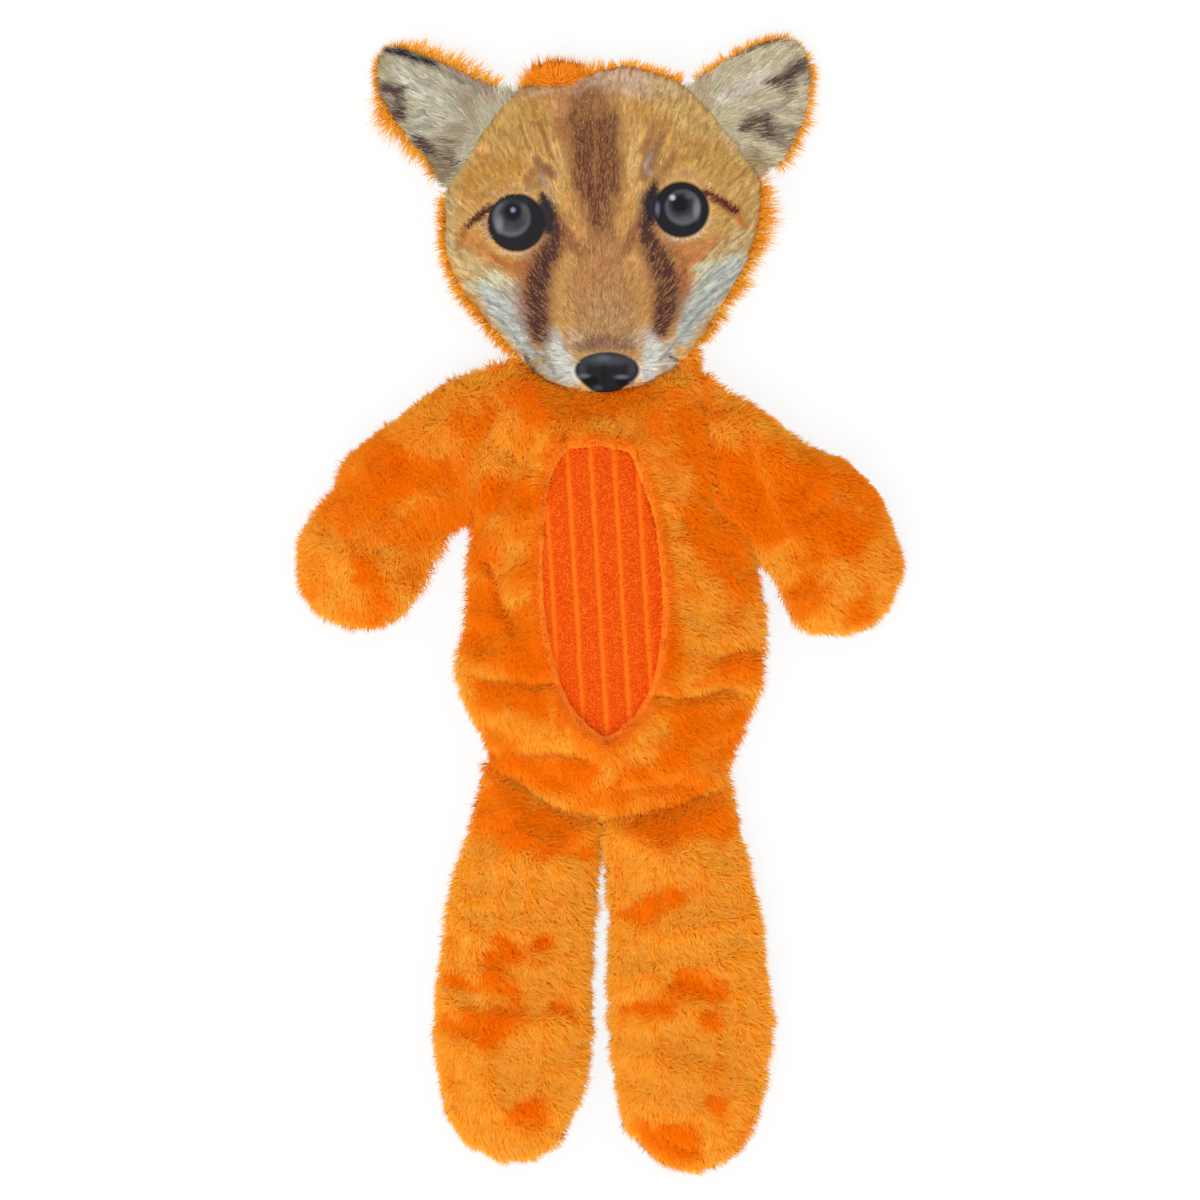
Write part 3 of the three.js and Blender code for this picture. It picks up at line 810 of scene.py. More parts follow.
# %% Legs
TUCK = 11 * MM
TUCK_TOP, TUCK_SLOPE, TUCK_SEAM = 0.6 * MM, 2.4 * MM, 1.5 * MM
HEM_NEAR = 1.2 * MM
LEG_BACK, LEG_BACK_TOP = 5 * MM, 7 * MM


def away_from(line, x, y, closed=True):
    """The distance of one place from a line."""
    return far_from(np.array([[x, y]]), line, closed)[0][0]


def leg_skin(side):
    loop = seam_line(f"leg_{side}_back")
    line = [p + Vector((0, TUCK)) if away_from(BODY_SEAM, *p) < HEM_NEAR else p for p in loop]
    front, back = surface(f"leg_{side}_front"), surface(f"leg_{side}_back")

    def top(x, y):
        tucked = min(away_from(loop, x, y) / TUCK, 1)
        return level(front, x, y, True) or SEAM_LEVEL + TUCK_TOP - TUCK_SLOPE * tucked

    def bottom(x, y):
        z = level(back, x, y, False)
        return SEAM_LEVEL - LEG_BACK if z is None else min(max(z, LOWEST), LEG_BACK_TOP)

    def seam(x, y):
        return SEAM_LEVEL - TUCK_SEAM * inside(np.array([[x, y]]), BODY_SEAM)[0]

    return plumped(pillow(f"leg_{side}_coat", line, STEP, top, bottom, seam), *FULL)


for side in SIDES:
    skins[f"leg_{side}"] = leg_skin(side)

# %% [markdown]
# The head is the thickest part. Its printed front and its plush back are one pillow while it is
# plumped, and are parted at the seam afterwards.

# %% Head
HEAD_SEAM = seam_line("head_back")
HEAD_STEP = 2.4 * MM
CHIN_TOP, CHIN_HALF = 101 * MM, 39 * MM
CHIN_LINE = sorted((p for p in HEAD_SEAM if p.y < CHIN_TOP and abs(p.x) < CHIN_HALF),
                   key=lambda p: p.x)
CHIN_LIFT, LIFT_REACH, BACK_SHARE = 3.5 * MM, 22 * MM, 0.6


def lifted(x, y):
    """How far the chin stands off the chest at a place."""
    away = away_from(CHIN_LINE, x, y, closed=False)
    return CHIN_LIFT * max(0, 1 - away / LIFT_REACH) ** 1.5


head_front, head_back = front_of(surface("face_panel")), back_of(surface("head_back"))
head = pillow(
    "head", HEAD_SEAM, HEAD_STEP,
    lambda x, y: head_front(x, y) + lifted(x, y),
    lambda x, y: head_back(x, y) + BACK_SHARE * lifted(x, y),
    lambda x, y: SEAM_LEVEL + lifted(x, y),
)
head = plumped(head, 3, 0.02, 1.5 * MM)


def halved(skin, front, back):
    """The front and the back half of a pillow, each closed by an inner side."""
    halves = (cut_out(skin, front, lambda f: f.normal.z > 0),
              cut_out(skin, back, lambda f: f.normal.z <= 0))
    bpy.data.objects.remove(skin)
    return halves


skins["face"], skins["head"] = halved(head, "face_cloth", "head_plush")

# %% Ears
EAR_STEP, EAR_TUCK, EAR_BACK = 1.8 * MM, 6 * MM, 3 * MM
EAR_SEAM, EAR_SEAM_GAP = 0.5 * MM, 0.1 * MM


def ear_skins(side):
    """An ear's printed and plush halves. Their outline runs on a little way under the head."""
    loop = seam_line(f"ear_{side}_back")
    root = longest(loop)
    a, b = loop[root], loop[(root + 1) % len(loop)]
    inward = Vector((-(b - a).y, (b - a).x)).normalized() * -EAR_TUCK
    line = loop[:root + 1] + [a + inward, b + inward] + loop[root + 1:]
    front, back = surface(f"ear_{side}_front"), surface(f"ear_{side}_back")

    def seam(x, y):
        z = level(front, x, y, False)
        return SEAM_LEVEL - EAR_SEAM if z is None else z - EAR_SEAM_GAP

    skin = pillow(
        f"ear_{side}", line, EAR_STEP,
        lambda x, y: level(front, x, y, True) or SEAM_LEVEL,
        lambda x, y: max(level(back, x, y, False) or SEAM_LEVEL - EAR_BACK, LOWEST),
        seam,
    )
    return halved(plumped(skin, *LIGHT), f"ear_{side}_cloth", f"ear_{side}_plush")


for side in SIDES:
    skins[f"ear_{side}_cloth"], skins[f"ear_{side}_plush"] = ear_skins(side)
print(sorted(skins))

# %% [markdown]
# A short plush neck joins head and body behind the chin. It bends with both.

# %% Neck
NECK_OUTLINE = (-30, 70), (30, 70), (42, 97), (30, 112), (-30, 112)
NECK_LINE = [Vector((x * MM, y * MM)) for x, y in NECK_OUTLINE]
NECK_LEVELS = 8.5 * MM, 1.5 * MM, 5 * MM


def even_pillow(name, line, step, levels):
    """A plumped pillow with an even top, bottom and seam."""
    top, bottom, seam = ((lambda x, y, z=z: z) for z in levels)
    return plumped(pillow(name, line, step, top, bottom, seam), *LIGHT)


skins["neck"] = even_pillow("neck_coat", NECK_LINE, STEP, NECK_LEVELS)

# %% [markdown]
# Pile, the strands of plush, is grown by Geometry Nodes. Points are scattered on a skin, one strand
# of three triangles stands on each, and its points are then moved: out along the skin's normal, over
# in the combed direction, together in tufts, and never below the floor. Every skin carries what the
# strands read: comb, the way they lie, pile, the share of their length, and thick, the share of their
# number.

# %% Strand and tree
FLOOR_CLEAR = 0.3 * MM


def strand():
    """One unit strand: two points at the root, two half way and one tip. z is the way along it."""
    mesh = bpy.data.meshes.new("strand")
    mesh.from_pydata([(-1, 0, 0), (1, 0, 0), (1, 0, 0.5), (-1, 0, 0.5), (0, 0, 1)], [],
                     [(0, 1, 2, 3), (3, 2, 4)])
    return placed("strand", mesh)


STRAND_POINTS, STRAND_TRIANGLES = 5, 3


class Grower(Board):
    """A board for Geometry Nodes: its tree has named inputs and gives one geometry."""

    def __init__(self, name, kinds, result):
        super().__init__(bpy.data.node_groups.new(name, "GeometryNodeTree"))
        self.result = result
        for key, kind in kinds.items():
            self.tree.interface.new_socket(key, in_out="INPUT", socket_type=f"NodeSocket{kind}")
        self.tree.interface.new_socket(result, in_out="OUTPUT", socket_type="NodeSocketGeometry")
        asked = self.add("NodeGroupInput")
        self.ask = {key: self.other(asked, key) for key in kinds}

    def read(self, name, kind="FLOAT"):
        return self.add("GeometryNodeInputNamedAttribute", {"data_type": kind}, {"Name": name})

    def keep(self, geometry, name, value, kind="FLOAT", domain="POINT"):
        return self.add("GeometryNodeStoreNamedAttribute", {"data_type": kind, "domain": domain},
                        {"Geometry": geometry, "Name": name, "Value": value})

    def set_out(self, points, shape, **more):
        """Copies of an object on points, made real."""
        shape = self.add("GeometryNodeObjectInfo", {}, {"Object": shape}, "Geometry")
        laid = self.add("GeometryNodeInstanceOnPoints", {},
                        {"Points": points, "Instance": shape, **more})
        return self.add("GeometryNodeRealizeInstances", {}, {"Geometry": laid})

    def finish(self, geometry):
        """Gives the geometry its material and out of the tree."""
        done = self.add("GeometryNodeSetMaterial", {},
                        {"Geometry": geometry, "Material": self.ask["Finish"]})
        self.add("NodeGroupOutput", {}, {self.result: done})
        return self.tree


LENGTHS, LAYS = (0.65, 0.6), (0.8, 0.4)  # the least share and how much chance adds to it
SINK, CURL, TAPER = 0.75, 0.18, 0.2
TILT, TWIST, SKIN_SHADE = 0.8, 0.25, 0.75
CELL_HALF, CELL_FOOT, CELL_LENGTH = 0.35, 0.1, 0.8
PILE_KINDS = {"Skin": "Geometry", "Strand": "Object", "Density": "Float", "Length": "Float",
              "Width": "Float", "Lay": "Float", "Stray": "Float", "Ruffle": "Float",
              "Ruffle size": "Float", "Tuft size": "Float", "Tuft pull": "Float", "Seed": "Int",
              "Finish": "Material"}


def pile_tree():
    board = Grower("grow pile", PILE_KINDS, "Pile")
    ask, read, keep = board.ask, board.read, board.keep
    density = ask["Density"] * read("thick") * (1 - read("lid"))
    points = board.add("GeometryNodeDistributePointsOnFaces", {},
                       {"Mesh": ask["Skin"], "Density": density, "Seed": ask["Seed"]})
    count = board.add("GeometryNodeAttributeDomainSize", {"component": "POINTCLOUD"},
                      {"Geometry": points})
    luck = board.add("FunctionNodeRandomValue", {"data_type": "FLOAT_VECTOR"}, {8: ask["Seed"]})
    kept = keep(points, "root", board.add("GeometryNodeInputPosition"), "FLOAT_VECTOR")
    kept = keep(kept, "out", board.other(points, "Normal"), "FLOAT_VECTOR")
    kept = keep(kept, "luck", luck, "FLOAT_VECTOR")
    kept = keep(kept, "place", board.add("GeometryNodeInputIndex"))
    loose = board.set_out(kept, ask["Strand"])

    # Where each point of a strand goes
    root, out = read("root", "FLOAT_VECTOR"), read("out", "FLOAT_VECTOR")
    side, _, along = board.parts(board.add("GeometryNodeInputPosition") - root)
    first, second, third = board.parts(read("luck", "FLOAT_VECTOR"))
    wave = board.cloud(root, 1 / ask["Ruffle size"], out=1)
    combed = read("comb", "FLOAT_VECTOR") + (wave - 0.5) * (ask["Ruffle"] * 2.0)
    combed = combed + (read("luck", "FLOAT_VECTOR") - 0.5) * ask["Stray"]
    flat = combed - out * board.vector("DOT_PRODUCT", combed, out, out="Value")
    way = board.vector("NORMALIZE", flat)
    length = ask["Length"] * read("pile") * (LENGTHS[0] + first * LENGTHS[1])
    lay = ask["Lay"] * (LAYS[0] + second * LAYS[1])
    up = length * along * (1 - lay * SINK - along * CURL)
    over = length * along * (lay + along * CURL)
    cell = board.add("ShaderNodeTexVoronoi", {}, {"Vector": root, "Scale": 1 / ask["Tuft size"]},
                     "Position")
    pull = (cell - root) * (ask["Tuft pull"] * along * along)

    # The flat side of a strand is turned up, and a little by chance
    tilt = board.add("ShaderNodeClamp", {}, {0: board.parts(out)[2] * 3 + 1, 1: -1, 2: 1})
    face = out + board.joined(0.0, 0.0, tilt * TILT)
    lie = out * (1 - lay * SINK) + way * lay
    turned = board.vector("CROSS_PRODUCT", lie, face) + out * ((third - 0.5) * TWIST)
    edge = board.vector("NORMALIZE", turned)
    spot = root + out * up + way * over + pull
    x, y, z = board.parts(spot + edge * (side * ask["Width"] * (0.5 - along * TAPER)))

    # The floor holds strands up, but not all at one height
    least = FLOOR_CLEAR * (1.2 - along * (0.4 + third * 0.7))
    spot = board.joined(x, y, board.number("MAXIMUM", z, least))

    # Each strand has a cell of its own in the map for baking
    columns = board.number("CEIL", board.number("SQRT", board.other(count, "Point Count")))
    column = board.number("MODULO", read("place"), columns)
    row = board.number("FLOOR", read("place") / columns)
    cell = board.joined((column + 0.5 + side * CELL_HALF) / columns,
                        (row + CELL_FOOT + along * CELL_LENGTH) / columns)
    mapped = keep(keep(loose, "OFBake", cell, "FLOAT2", "CORNER"), "along", along)

    # Light falls on a strand nearly as on the skin below it
    moved = board.add("GeometryNodeSetPosition", {}, {"Geometry": mapped, "Position": spot})
    own = board.add("GeometryNodeInputNormal")
    shading = board.vector("NORMALIZE", face) * SKIN_SHADE + own * (1 - SKIN_SHADE)
    return board.finish(board.add(
        "GeometryNodeSetMeshNormal", {"mode": "TANGENT_SPACE"},
        {"Mesh": moved, "Custom Normal": board.vector("NORMALIZE", shading)}))


PILE_TREE = pile_tree()
STRAND = strand()


def run_tree(skin, tree, name, **inputs):
    """What a node tree makes of a skin, as a plain mesh."""
    grow = skin.modifiers.new(name, "NODES")
    grow.node_group = tree
    sockets = {s.name: s.identifier for s in tree.interface.items_tree if s.in_out == "INPUT"}
    for key, value in inputs.items():
        grow[sockets[key.replace("_", " ")]] = value
    return placed(name, made_real(skin, grow))


def grown(skin, name, **sizes):
    """The pile on a skin."""
    pile = run_tree(skin, PILE_TREE, name, Strand=STRAND, **sizes)
    strands = len(pile.data.vertices) // STRAND_POINTS
    print(name, "strands", strands, "triangles", strands * STRAND_TRIANGLES)
    return pile


# %% [markdown]
# What the strands read is painted on to the skins as attributes, as a maker would with a brush.

# %% Brushes
FIELDS = {"FLOAT": "value", "FLOAT_VECTOR": "vector", "FLOAT_COLOR": "color"}


def vertex_normals(skin):
    return rows_of(skin.data.vertices, "normal")


def carry(skin, name, values, kind="FLOAT"):
    """Stores one value for each vertex, in place of an earlier one."""
    if name not in skin.data.attributes:
        skin.data.attributes.new(name, kind, "POINT")
    values = np.asarray(values, np.float32).ravel()
    skin.data.attributes[name].data.foreach_set(FIELDS[kind], values)


def values_of(skin, name):
    """A stored number of each vertex."""
    values = np.empty(len(skin.data.vertices), np.float32)
    skin.data.attributes[name].data.foreach_get("value", values)
    return values


def soft(value, low, high):
    """0 below low, 1 above high and an S-curve between them."""
    share = np.clip((value - low) / (high - low), 0, 1)
    return share * share * (3 - 2 * share)


BRUSH_CORE, BRUSH_EDGE = 0.25, 1.4


def stroke(places, points, widths):
    """The weight of a brush stroke at each place: 1 on its line, fading over its width."""
    if len(points) == 1:
        points = points * 2
    away, share = far_from(places, points, closed=False)
    wide = np.interp(share, np.linspace(0, 1, len(widths)), widths)
    return 1 - soft(away, BRUSH_CORE * wide / 2, BRUSH_EDGE * wide / 2)


PIXEL = 0.4 * MM
MIDDLE_PIXEL = (598.39, 602.4)


def at(across, down):
    """The place of a spot that was read off the photograph, whose pixel is 0.4 mm wide."""
    return (across - MIDDLE_PIXEL[0]) * PIXEL, (MIDDLE_PIXEL[1] - down) * PIXEL


def pixels(line):
    """The points of a line that was read off the photograph."""
    return [Vector(at(*p)) for p in line]


def as_seen(rows):
    """Where the camera sees each spot: what lies higher shows a little further from the middle."""
    high = camera.location.z
    middle = np.array(VIEW_MIDDLE)
    return middle + (rows[:, :2] - middle) * ((high - VIEW_LEVEL) / (high - rows[:, 2:3]))


STREAK_SHARE = 0.9


def painted(places, ground, strokes, streaks=0.0):
    """The colour at each place: a ground colour under brush strokes, with the last one on top.

    Streaks from -1 to 1 let a brush cover more or less, except where it paints at full strength.
    """
    out = np.tile(colour(ground), (len(places), 1))
    for code, strength, widths, *line in strokes:
        weight = stroke(places, pixels(line), np.array(widths, float) * PIXEL)
        if strength < 1:
            weight = np.clip(weight * (1 + STREAK_SHARE * streaks), 0, 1)
        out += (strength * weight)[:, None] * (np.array(colour(code)) - out)
    return out


# Patches of painted shade, deeper orange where the pile is pressed or parted
CRUSH_SHADE_PATCHES = [
    # points and widths, in millimetres
    ([(-26, 209), (-6, 211)], [12]),
    # chest and shoulders
    ([(-26, 82), (-14, 76)], [14]), ([(8, 84), (22, 82)], [12]),
    ([(-43, 44), (-28, 42)], [13]), ([(42, 30), (52, 18)], [14]),
    ([(34, 72), (42, 60)], [11]), ([(-52, 30), (-48, 20)], [10]),
    # arms
    ([(-66, 48), (-57, 42)], [15]), ([(-92, 54), (-84, 55)], [17]),
    ([(-90, 56), (-80, 48)], [20]), ([(-78, 43), (-72, 41)], [14]),
    ([(-92, 12)], [9]), ([(-64, 50), (-58, 45)], [12]),
    ([(54, 44), (82, 34)], [24]), ([(88, 50), (80, 36), (94, 30)], [20]),
    ([(92, 52), (102, 48)], [14]), ([(84, 4), (78, 0)], [12]),
    # sides and the lower body
    ([(-48, -13), (-28, -18)], [17]), ([(-44, -34), (-24, -38)], [10]),
    ([(-44, -64), (-6, -68)], [11]), ([(30, -42), (50, -43)], [11]),
    ([(32, -53), (52, -57)], [18]), ([(10, -71), (36, -71)], [10]),
    ([(50, -25), (60, -24)], [9]), ([(-47, 6), (-42, -4)], [9]),
    # left leg
    ([(-58, -150), (-50, -152)], [7]), ([(-46, -138), (-42, -147), (-34, -155)], [6, 10, 6]),
    ([(-42, -80), (-26, -90)], [18]), ([(-18, -93), (-8, -94)], [14]),
    ([(-40, -134), (-33, -140)], [6]),
    ([(-62, -168), (-48, -168), (-34, -165), (-22, -164)], [9, 11, 8, 5]),
    ([(-20, -162), (-12, -164)], [6]), ([(-24, -134)], [5]), ([(-29, -203)], [12]),
    # right leg
    ([(24, -88), (46, -84)], [15]), ([(14, -124), (20, -120)], [9]), ([(28, -117)], [10]),
    ([(34, -152), (46, -152)], [11]), ([(14, -161), (28, -160)], [7]), ([(45, -167)], [9]),
    ([(22, -210), (34, -212)], [13]), ([(45, -201)], [11]), ([(35, -217)], [10]),
]

# Plush is not trimmed evenly
TRIM = [
    # how much longer or shorter it is, then the widths and the line, in pixels
    (1.1, [40, 40, 30], (772, 200), (762, 270), (726, 330)), (0.3, [24, 30], (532, 84), (585, 78)),
    (0.8, [24, 24], (450, 290), (490, 345)),
    (1.1, [26, 30, 30, 26], (380, 104), (396, 135), (420, 168), (434, 196)),
    (0.7, [22, 26, 20], (412, 46), (440, 60), (490, 85)), (0.5, [26], (810, 100), (790, 150)),
    (1.0, [24], (800, 152), (778, 172), (780, 195)), (-0.6, [24, 24], (374, 56), (394, 32)),
    (-0.4, [20], (600, 62), (655, 66)), (0.5, [22], (458, 590), (456, 680)),
    (-0.6, [26, 26, 26], (855, 462), (888, 500), (902, 540)), (-0.4, [24], (372, 432), (440, 385)),
    (0.6, [24], (768, 600), (768, 650), (758, 705), (742, 755)), (0.6, [20], (774, 592), (800, 628)),
    (0.4, [20], (440, 540), (415, 605)),
]


CRUSH_WIDER, CRUSH_MOST, CRUSH_SHORTENS = 1.4, 1.1, 0.25
RAGGED, RAGGED_SCALE = 3.2 * MM, 150
WISPS, WISPS_SCALE, WISPS_LONGER = 0.45, 115, 1.05
SHORTEST = 0.35
# How wide the painted shade along a crease is, and the crease depth that makes it full; then how strong and how wide
# the painted shade round the belly panel is
FOLD_SHADE_WIDTHS, FOLD_SHADE_DEPTH = (0.4, 1, 0.5), 3
PANEL_SHADE, PANEL_SHADE_EDGE = 0.75, (2 * MM, 5 * MM)


def pile_ready(skin, flow, under=0.5, mask=None, outward=0.8, pressed=0.0, fringe=0.0, lean=None):
    """Paints what a plush skin's strands and their colours read: comb, pile and thick; crush, the
    painted shade of pressed pile, at least pressed everywhere; painted shade along the creases and
    round the belly panel; and painted rim light where the skin faces sideways, at least fringe."""
    rows, normals = spots_of(skin), vertex_normals(skin)
    facing = normals[:, 2]
    way = np.array([flow(x, y) for x, y in rows[:, :2]])
    if lean is not None:
        way = way + lean(rows)
    way = np.c_[way, np.zeros(len(rows))]
    way[:, :2] += normals[:, :2] * outward

    # Painted shade of pressed pile: at least pressed everywhere, more on the listed patches, none underneath
    crush = np.full(len(rows), pressed)
    moved = [noise.noise_vector(Vector(row) * RAGGED_SCALE)[:2] for row in rows]
    ragged = rows[:, :2] + RAGGED * np.array(moved)
    for line, widths in CRUSH_SHADE_PATCHES:
        here = stroke(ragged, in_mm(line), CRUSH_WIDER * np.array(widths) * MM)
        crush = np.maximum(crush, pressed + (CRUSH_MOST - pressed) * here)
    crush *= facing > -0.2

    wisps = np.array([noise.noise(Vector(row) * WISPS_SCALE) for row in rows])
    length = (WISPS_LONGER - CRUSH_SHORTENS * crush) * (1 + WISPS * wisps)
    for more, widths, *line in TRIM:
        length *= 1 + more * stroke(rows[:, :2], pixels(line), np.array(widths, float) * PIXEL)
    share = np.where(facing > -0.35, 1.0, under)
    if mask is not None:
        hide = mask(rows)
        length = length * np.clip(SHORTEST + (1 - SHORTEST) * hide, 0, 1)
        share = share * (hide > 0.02)

    # Painted shade: deeper colour along the creases and round the sunken edge of the belly panel
    fold = np.zeros(len(rows))
    for line, width, depth in CREASES:
        here = stroke(rows[:, :2], in_mm(line), np.array(FOLD_SHADE_WIDTHS) * 1.5 * width * MM)
        fold = np.maximum(fold, here * min(1, depth / FOLD_SHADE_DEPTH))
    away, _ = far_from(rows[:, :2], BELLY_LINE)
    fold = np.maximum(fold, PANEL_SHADE * (1 - soft(away, *PANEL_SHADE_EDGE)))

    carry(skin, "comb", way, "FLOAT_VECTOR")
    carry(skin, "pile", length)
    carry(skin, "thick", share)
    carry(skin, "crush", crush)
    carry(skin, "fold", fold * soft(facing, 0.15, 0.6))
    # Painted rim light: most where the skin faces sideways, and at least the share fringe everywhere
    carry(skin, "rim", np.maximum(1 - np.abs(facing), fringe))


# %% [markdown]
# Plush strands are dyed orange and are paler towards their tips. Where the pile is pressed or parted
# it shows deeper orange; these patches are painted shade, the crush. Painted shade also lies in the
# creases and under the hem, and a painted rim light on the pile's edge.

# %% Plush materials
# The last two colours are painted shade for the creases and painted rim light
PALE, WARM, DEEP, RED, SHADED_FOLD, RIM_LIGHT = (
    colour(code) for code in ("ffb848", "ff9c18", "fc7a00", "f46400", "ee5a00", "ffc43c"))


def material(name):
    """A material with a board for its nodes and its shader."""
    made = bpy.data.materials.new(name)
    made.use_nodes = True
    board = Board(made.node_tree)
    shader = made.node_tree.nodes["Principled BSDF"]
    return made, board, shader


def attribute(board, name, out="Fac"):
    return board.add("ShaderNodeAttribute", {"attribute_name": name}, {}, out)


def dress(board, shader, values):
    """Sets or links the sockets of the shader."""
    for name, value in values.items():
        board.fill(shader.inputs[name], value)


def two_tone(name, scale, low, high, rough, gain=0.0):
    """A material of two tones in a fine cloud, which can make it rougher as well."""
    made, board, shader = material(name)
    cloud = board.cloud(board.object_place(), scale)
    dress(board, shader, {"Base Color": board.mix(cloud, colour(low), colour(high)),
                          "Roughness": rough + cloud * gain if gain else rough})
    return made


def plush_pile():
    made, board, shader = material("plush pile")
    root, fold = attribute(board, "root", "Vector"), attribute(board, "fold")
    luck = board.parts(attribute(board, "luck", "Vector"))[0]
    # Patches of deeper dye by chance, and painted shade where the pile is pressed, deepest where both meet
    weight = (board.cloud(root, 62, 4, 0.6) - 0.5) * 2.6 + attribute(board, "crush") * 0.8
    patch = board.smooth(weight, 0.08, 0.78)
    body = board.mix(patch, WARM, DEEP)
    body = board.mix(board.smooth(weight, 0.75, 1.5), body, RED)
    # Painted shade in the creases, round the belly panel and under the hem, where the tips stay deep too
    body = board.mix(fold * 0.9, body, SHADED_FOLD)
    # Paler tips, as the plush has, while the deeper colour towards the root is also painted shade deep
    # in the pile; flecks between strands; and painted rim light at the pile's edge
    tip = board.mix(board.number("MAXIMUM", patch, fold), PALE, DEEP)
    height = attribute(board, "along") + board.cloud(root, 420, 1) - 0.5
    tinted = board.mix(board.smooth(height, 0.35, 1.0), body, tip)
    shade = board.mix(luck * 0.2, tinted, tinted * (1, 0.78, 0.5))
    # Painted rim light, in a golden colour
    rim_lit = board.mix(attribute(board, "rim") * 0.6, shade, RIM_LIGHT)
    dress(board, shader, {"Base Color": rim_lit, "Roughness": 0.9, "Specular IOR Level": 0.0})
    return made


PLUSH, BACKING = plush_pile(), two_tone("plush backing", 900, "fc7c04", "ff9014", 0.9)

# %% Dress the plush skins
LIMB_FLOW = {"left": Vector((-0.72, -0.69)), "right": Vector((0.72, -0.69))}
TURN_BEFORE, TURN_RUN = 12, 30  # millimetres
TURN_SIDE, TURN_FOOT = 30 * MM, -20 * MM
TOP_DENSITY = 1.2e6 if QUICK else 4.1e6
PILE = {"Density": TOP_DENSITY, "Length": 6.4 * MM, "Width": 0.38 * MM, "Lay": 0.4,
        "Stray": 2.4, "Ruffle": 0.9, "Ruffle_size": 12 * MM, "Tuft_size": 3.4 * MM,
        "Tuft_pull": 0.34, "Finish": PLUSH}
FRINGE = {**PILE, "Lay": 0.6, "Stray": 1.3, "Density": 1.4 * TOP_DENSITY, "Tuft_size": 4.4 * MM,
          "Tuft_pull": 0.5}
# The share of painted shade of pressed pile all over the body and arms
PRESSED_SHADE = 0.5


def furred(skin, name, sizes, seed):
    """Gives a skin the backing's material and grows its pile."""
    skin.data.materials.append(BACKING)
    skins[name] = grown(skin, name, Seed=seed, **sizes)


def downward(x, y):
    return (0, -1)


def coat_flow(x, y):
    """Plush lies down the body, and turns into the arms at the shoulders."""
    for side in SIDES:
        high, _, out, _ = across(side)
        away = (Vector((x, y)) - high).dot(out)
        if away > -TURN_BEFORE * MM and abs(x) > TURN_SIDE and y > TURN_FOOT:
            share = min(1, max(0, (away / MM + TURN_BEFORE) / TURN_RUN))
            return tuple(Vector(downward(x, y)).lerp(LIMB_FLOW[side], share))
    return downward(x, y)


def outside_body(rows):
    return np.where(inside(rows[:, :2], BODY_SEAM), 0.0, 1.0)


# Painted shade on the legs just under the body's hem, which overhangs them
HEM_SHADE, HEM_SHADE_DEPTH = (0.5 * MM, 7 * MM), 0.55
for side in SIDES:
    skin = skins[f"leg_{side}"]
    pile_ready(skin, downward, under=0.7, mask=outside_body, outward=1.5)
    hem_shadow = 1 - soft(far_from(spots_of(skin)[:, :2], BODY_SEAM)[0], *HEM_SHADE)
    carry(skin, "fold", np.maximum(values_of(skin, "fold"), HEM_SHADE_DEPTH * hem_shadow))

PANEL_BARE, PANEL_SHORT, PANEL_REACH = 0.3 * MM, 0.15, 8 * MM
PANEL_HALF = (25 * MM, 59 * MM)
PANEL_LEAN, LEAN_EDGE = 2, (3 * MM, 11 * MM)


def outside_panel(rows):
    """No pile on the front under the belly panel, and shorter pile beside it."""
    away, _ = far_from(rows[:, :2], BELLY_LINE)
    front = rows[:, 2] > SEAM_LEVEL
    bare = front & (inside(rows[:, :2], BELLY_LINE) | (away < PANEL_BARE))
    beside = PANEL_SHORT + (1 - PANEL_SHORT) * soft(away, 0, PANEL_REACH)
    return np.where(bare, 0.0, np.where(front, beside, 1.0))


def off_panel(rows):
    """Beside the belly panel the pile leans away from it."""
    away, _ = far_from(rows[:, :2], BELLY_LINE)
    off = (rows[:, :2] - np.array(BELLY_MIDDLE)) / np.array(PANEL_HALF) ** 2
    off /= np.linalg.norm(off, axis=1, keepdims=True)
    lean = PANEL_LEAN * (1 - soft(away, *LEAN_EDGE)) * (rows[:, 2] > SEAM_LEVEL)
    return off * lean[:, None]


pile_ready(skins["torso"], coat_flow, mask=outside_panel, pressed=PRESSED_SHADE, lean=off_panel)
for side in SIDES:
    pile_ready(skins[f"arm_{side}"], coat_flow, pressed=PRESSED_SHADE)
pile_ready(skins["neck"], downward)
for seed, name in enumerate(("arm_left", "arm_right", "leg_left", "leg_right", "neck")):
    furred(skins[name], f"{name}_pile", PILE, seed + 2)

# The body's pile is grown in two pieces, front and back, so that neither is too heavy
body_skin = skins["torso"]
body_skin.data.materials.append(BACKING)
everywhere = values_of(body_skin, "thick")
for seed, name, way in ((1, "torso_pile", 1), (8, "torso_back_pile", -1)):
    carry(body_skin, "thick", everywhere * (vertex_normals(body_skin)[:, 2] * way > 0))
    skins[name] = grown(body_skin, name, Seed=seed, **PILE)

# Head and ears: pile that runs outwards all round, as a fringe
HEAD_MIDDLE = (1.8 * MM, 147 * MM)
CHIN_EDGE = (2 * MM, 10 * MM)
EAR_JOINTS = [(at(446, 186), at(510, 92)), (at(690, 88), at(766, 172))]
EAR_CLEAR, EAR_CLEAR_LEVEL = 5 * MM, 6 * MM


def head_flow(x, y):
    way = Vector((x - HEAD_MIDDLE[0], y - HEAD_MIDDLE[1]))
    return tuple(way.normalized()) if way.length > 0 else (0, 1)


def away_from_chin(rows):
    return soft(far_from(rows[:, :2], CHIN_LINE, closed=False)[0], *CHIN_EDGE)


def trimmed(skin):
    """Clears the plush where an ear meets the face."""
    rows, thick = spots_of(skin), values_of(skin, "thick")
    for line in EAR_JOINTS:
        away, _ = far_from(rows[:, :2], line, closed=False)
        thick *= (away > EAR_CLEAR) | (rows[:, 2] < EAR_CLEAR_LEVEL)
    carry(skin, "thick", thick)


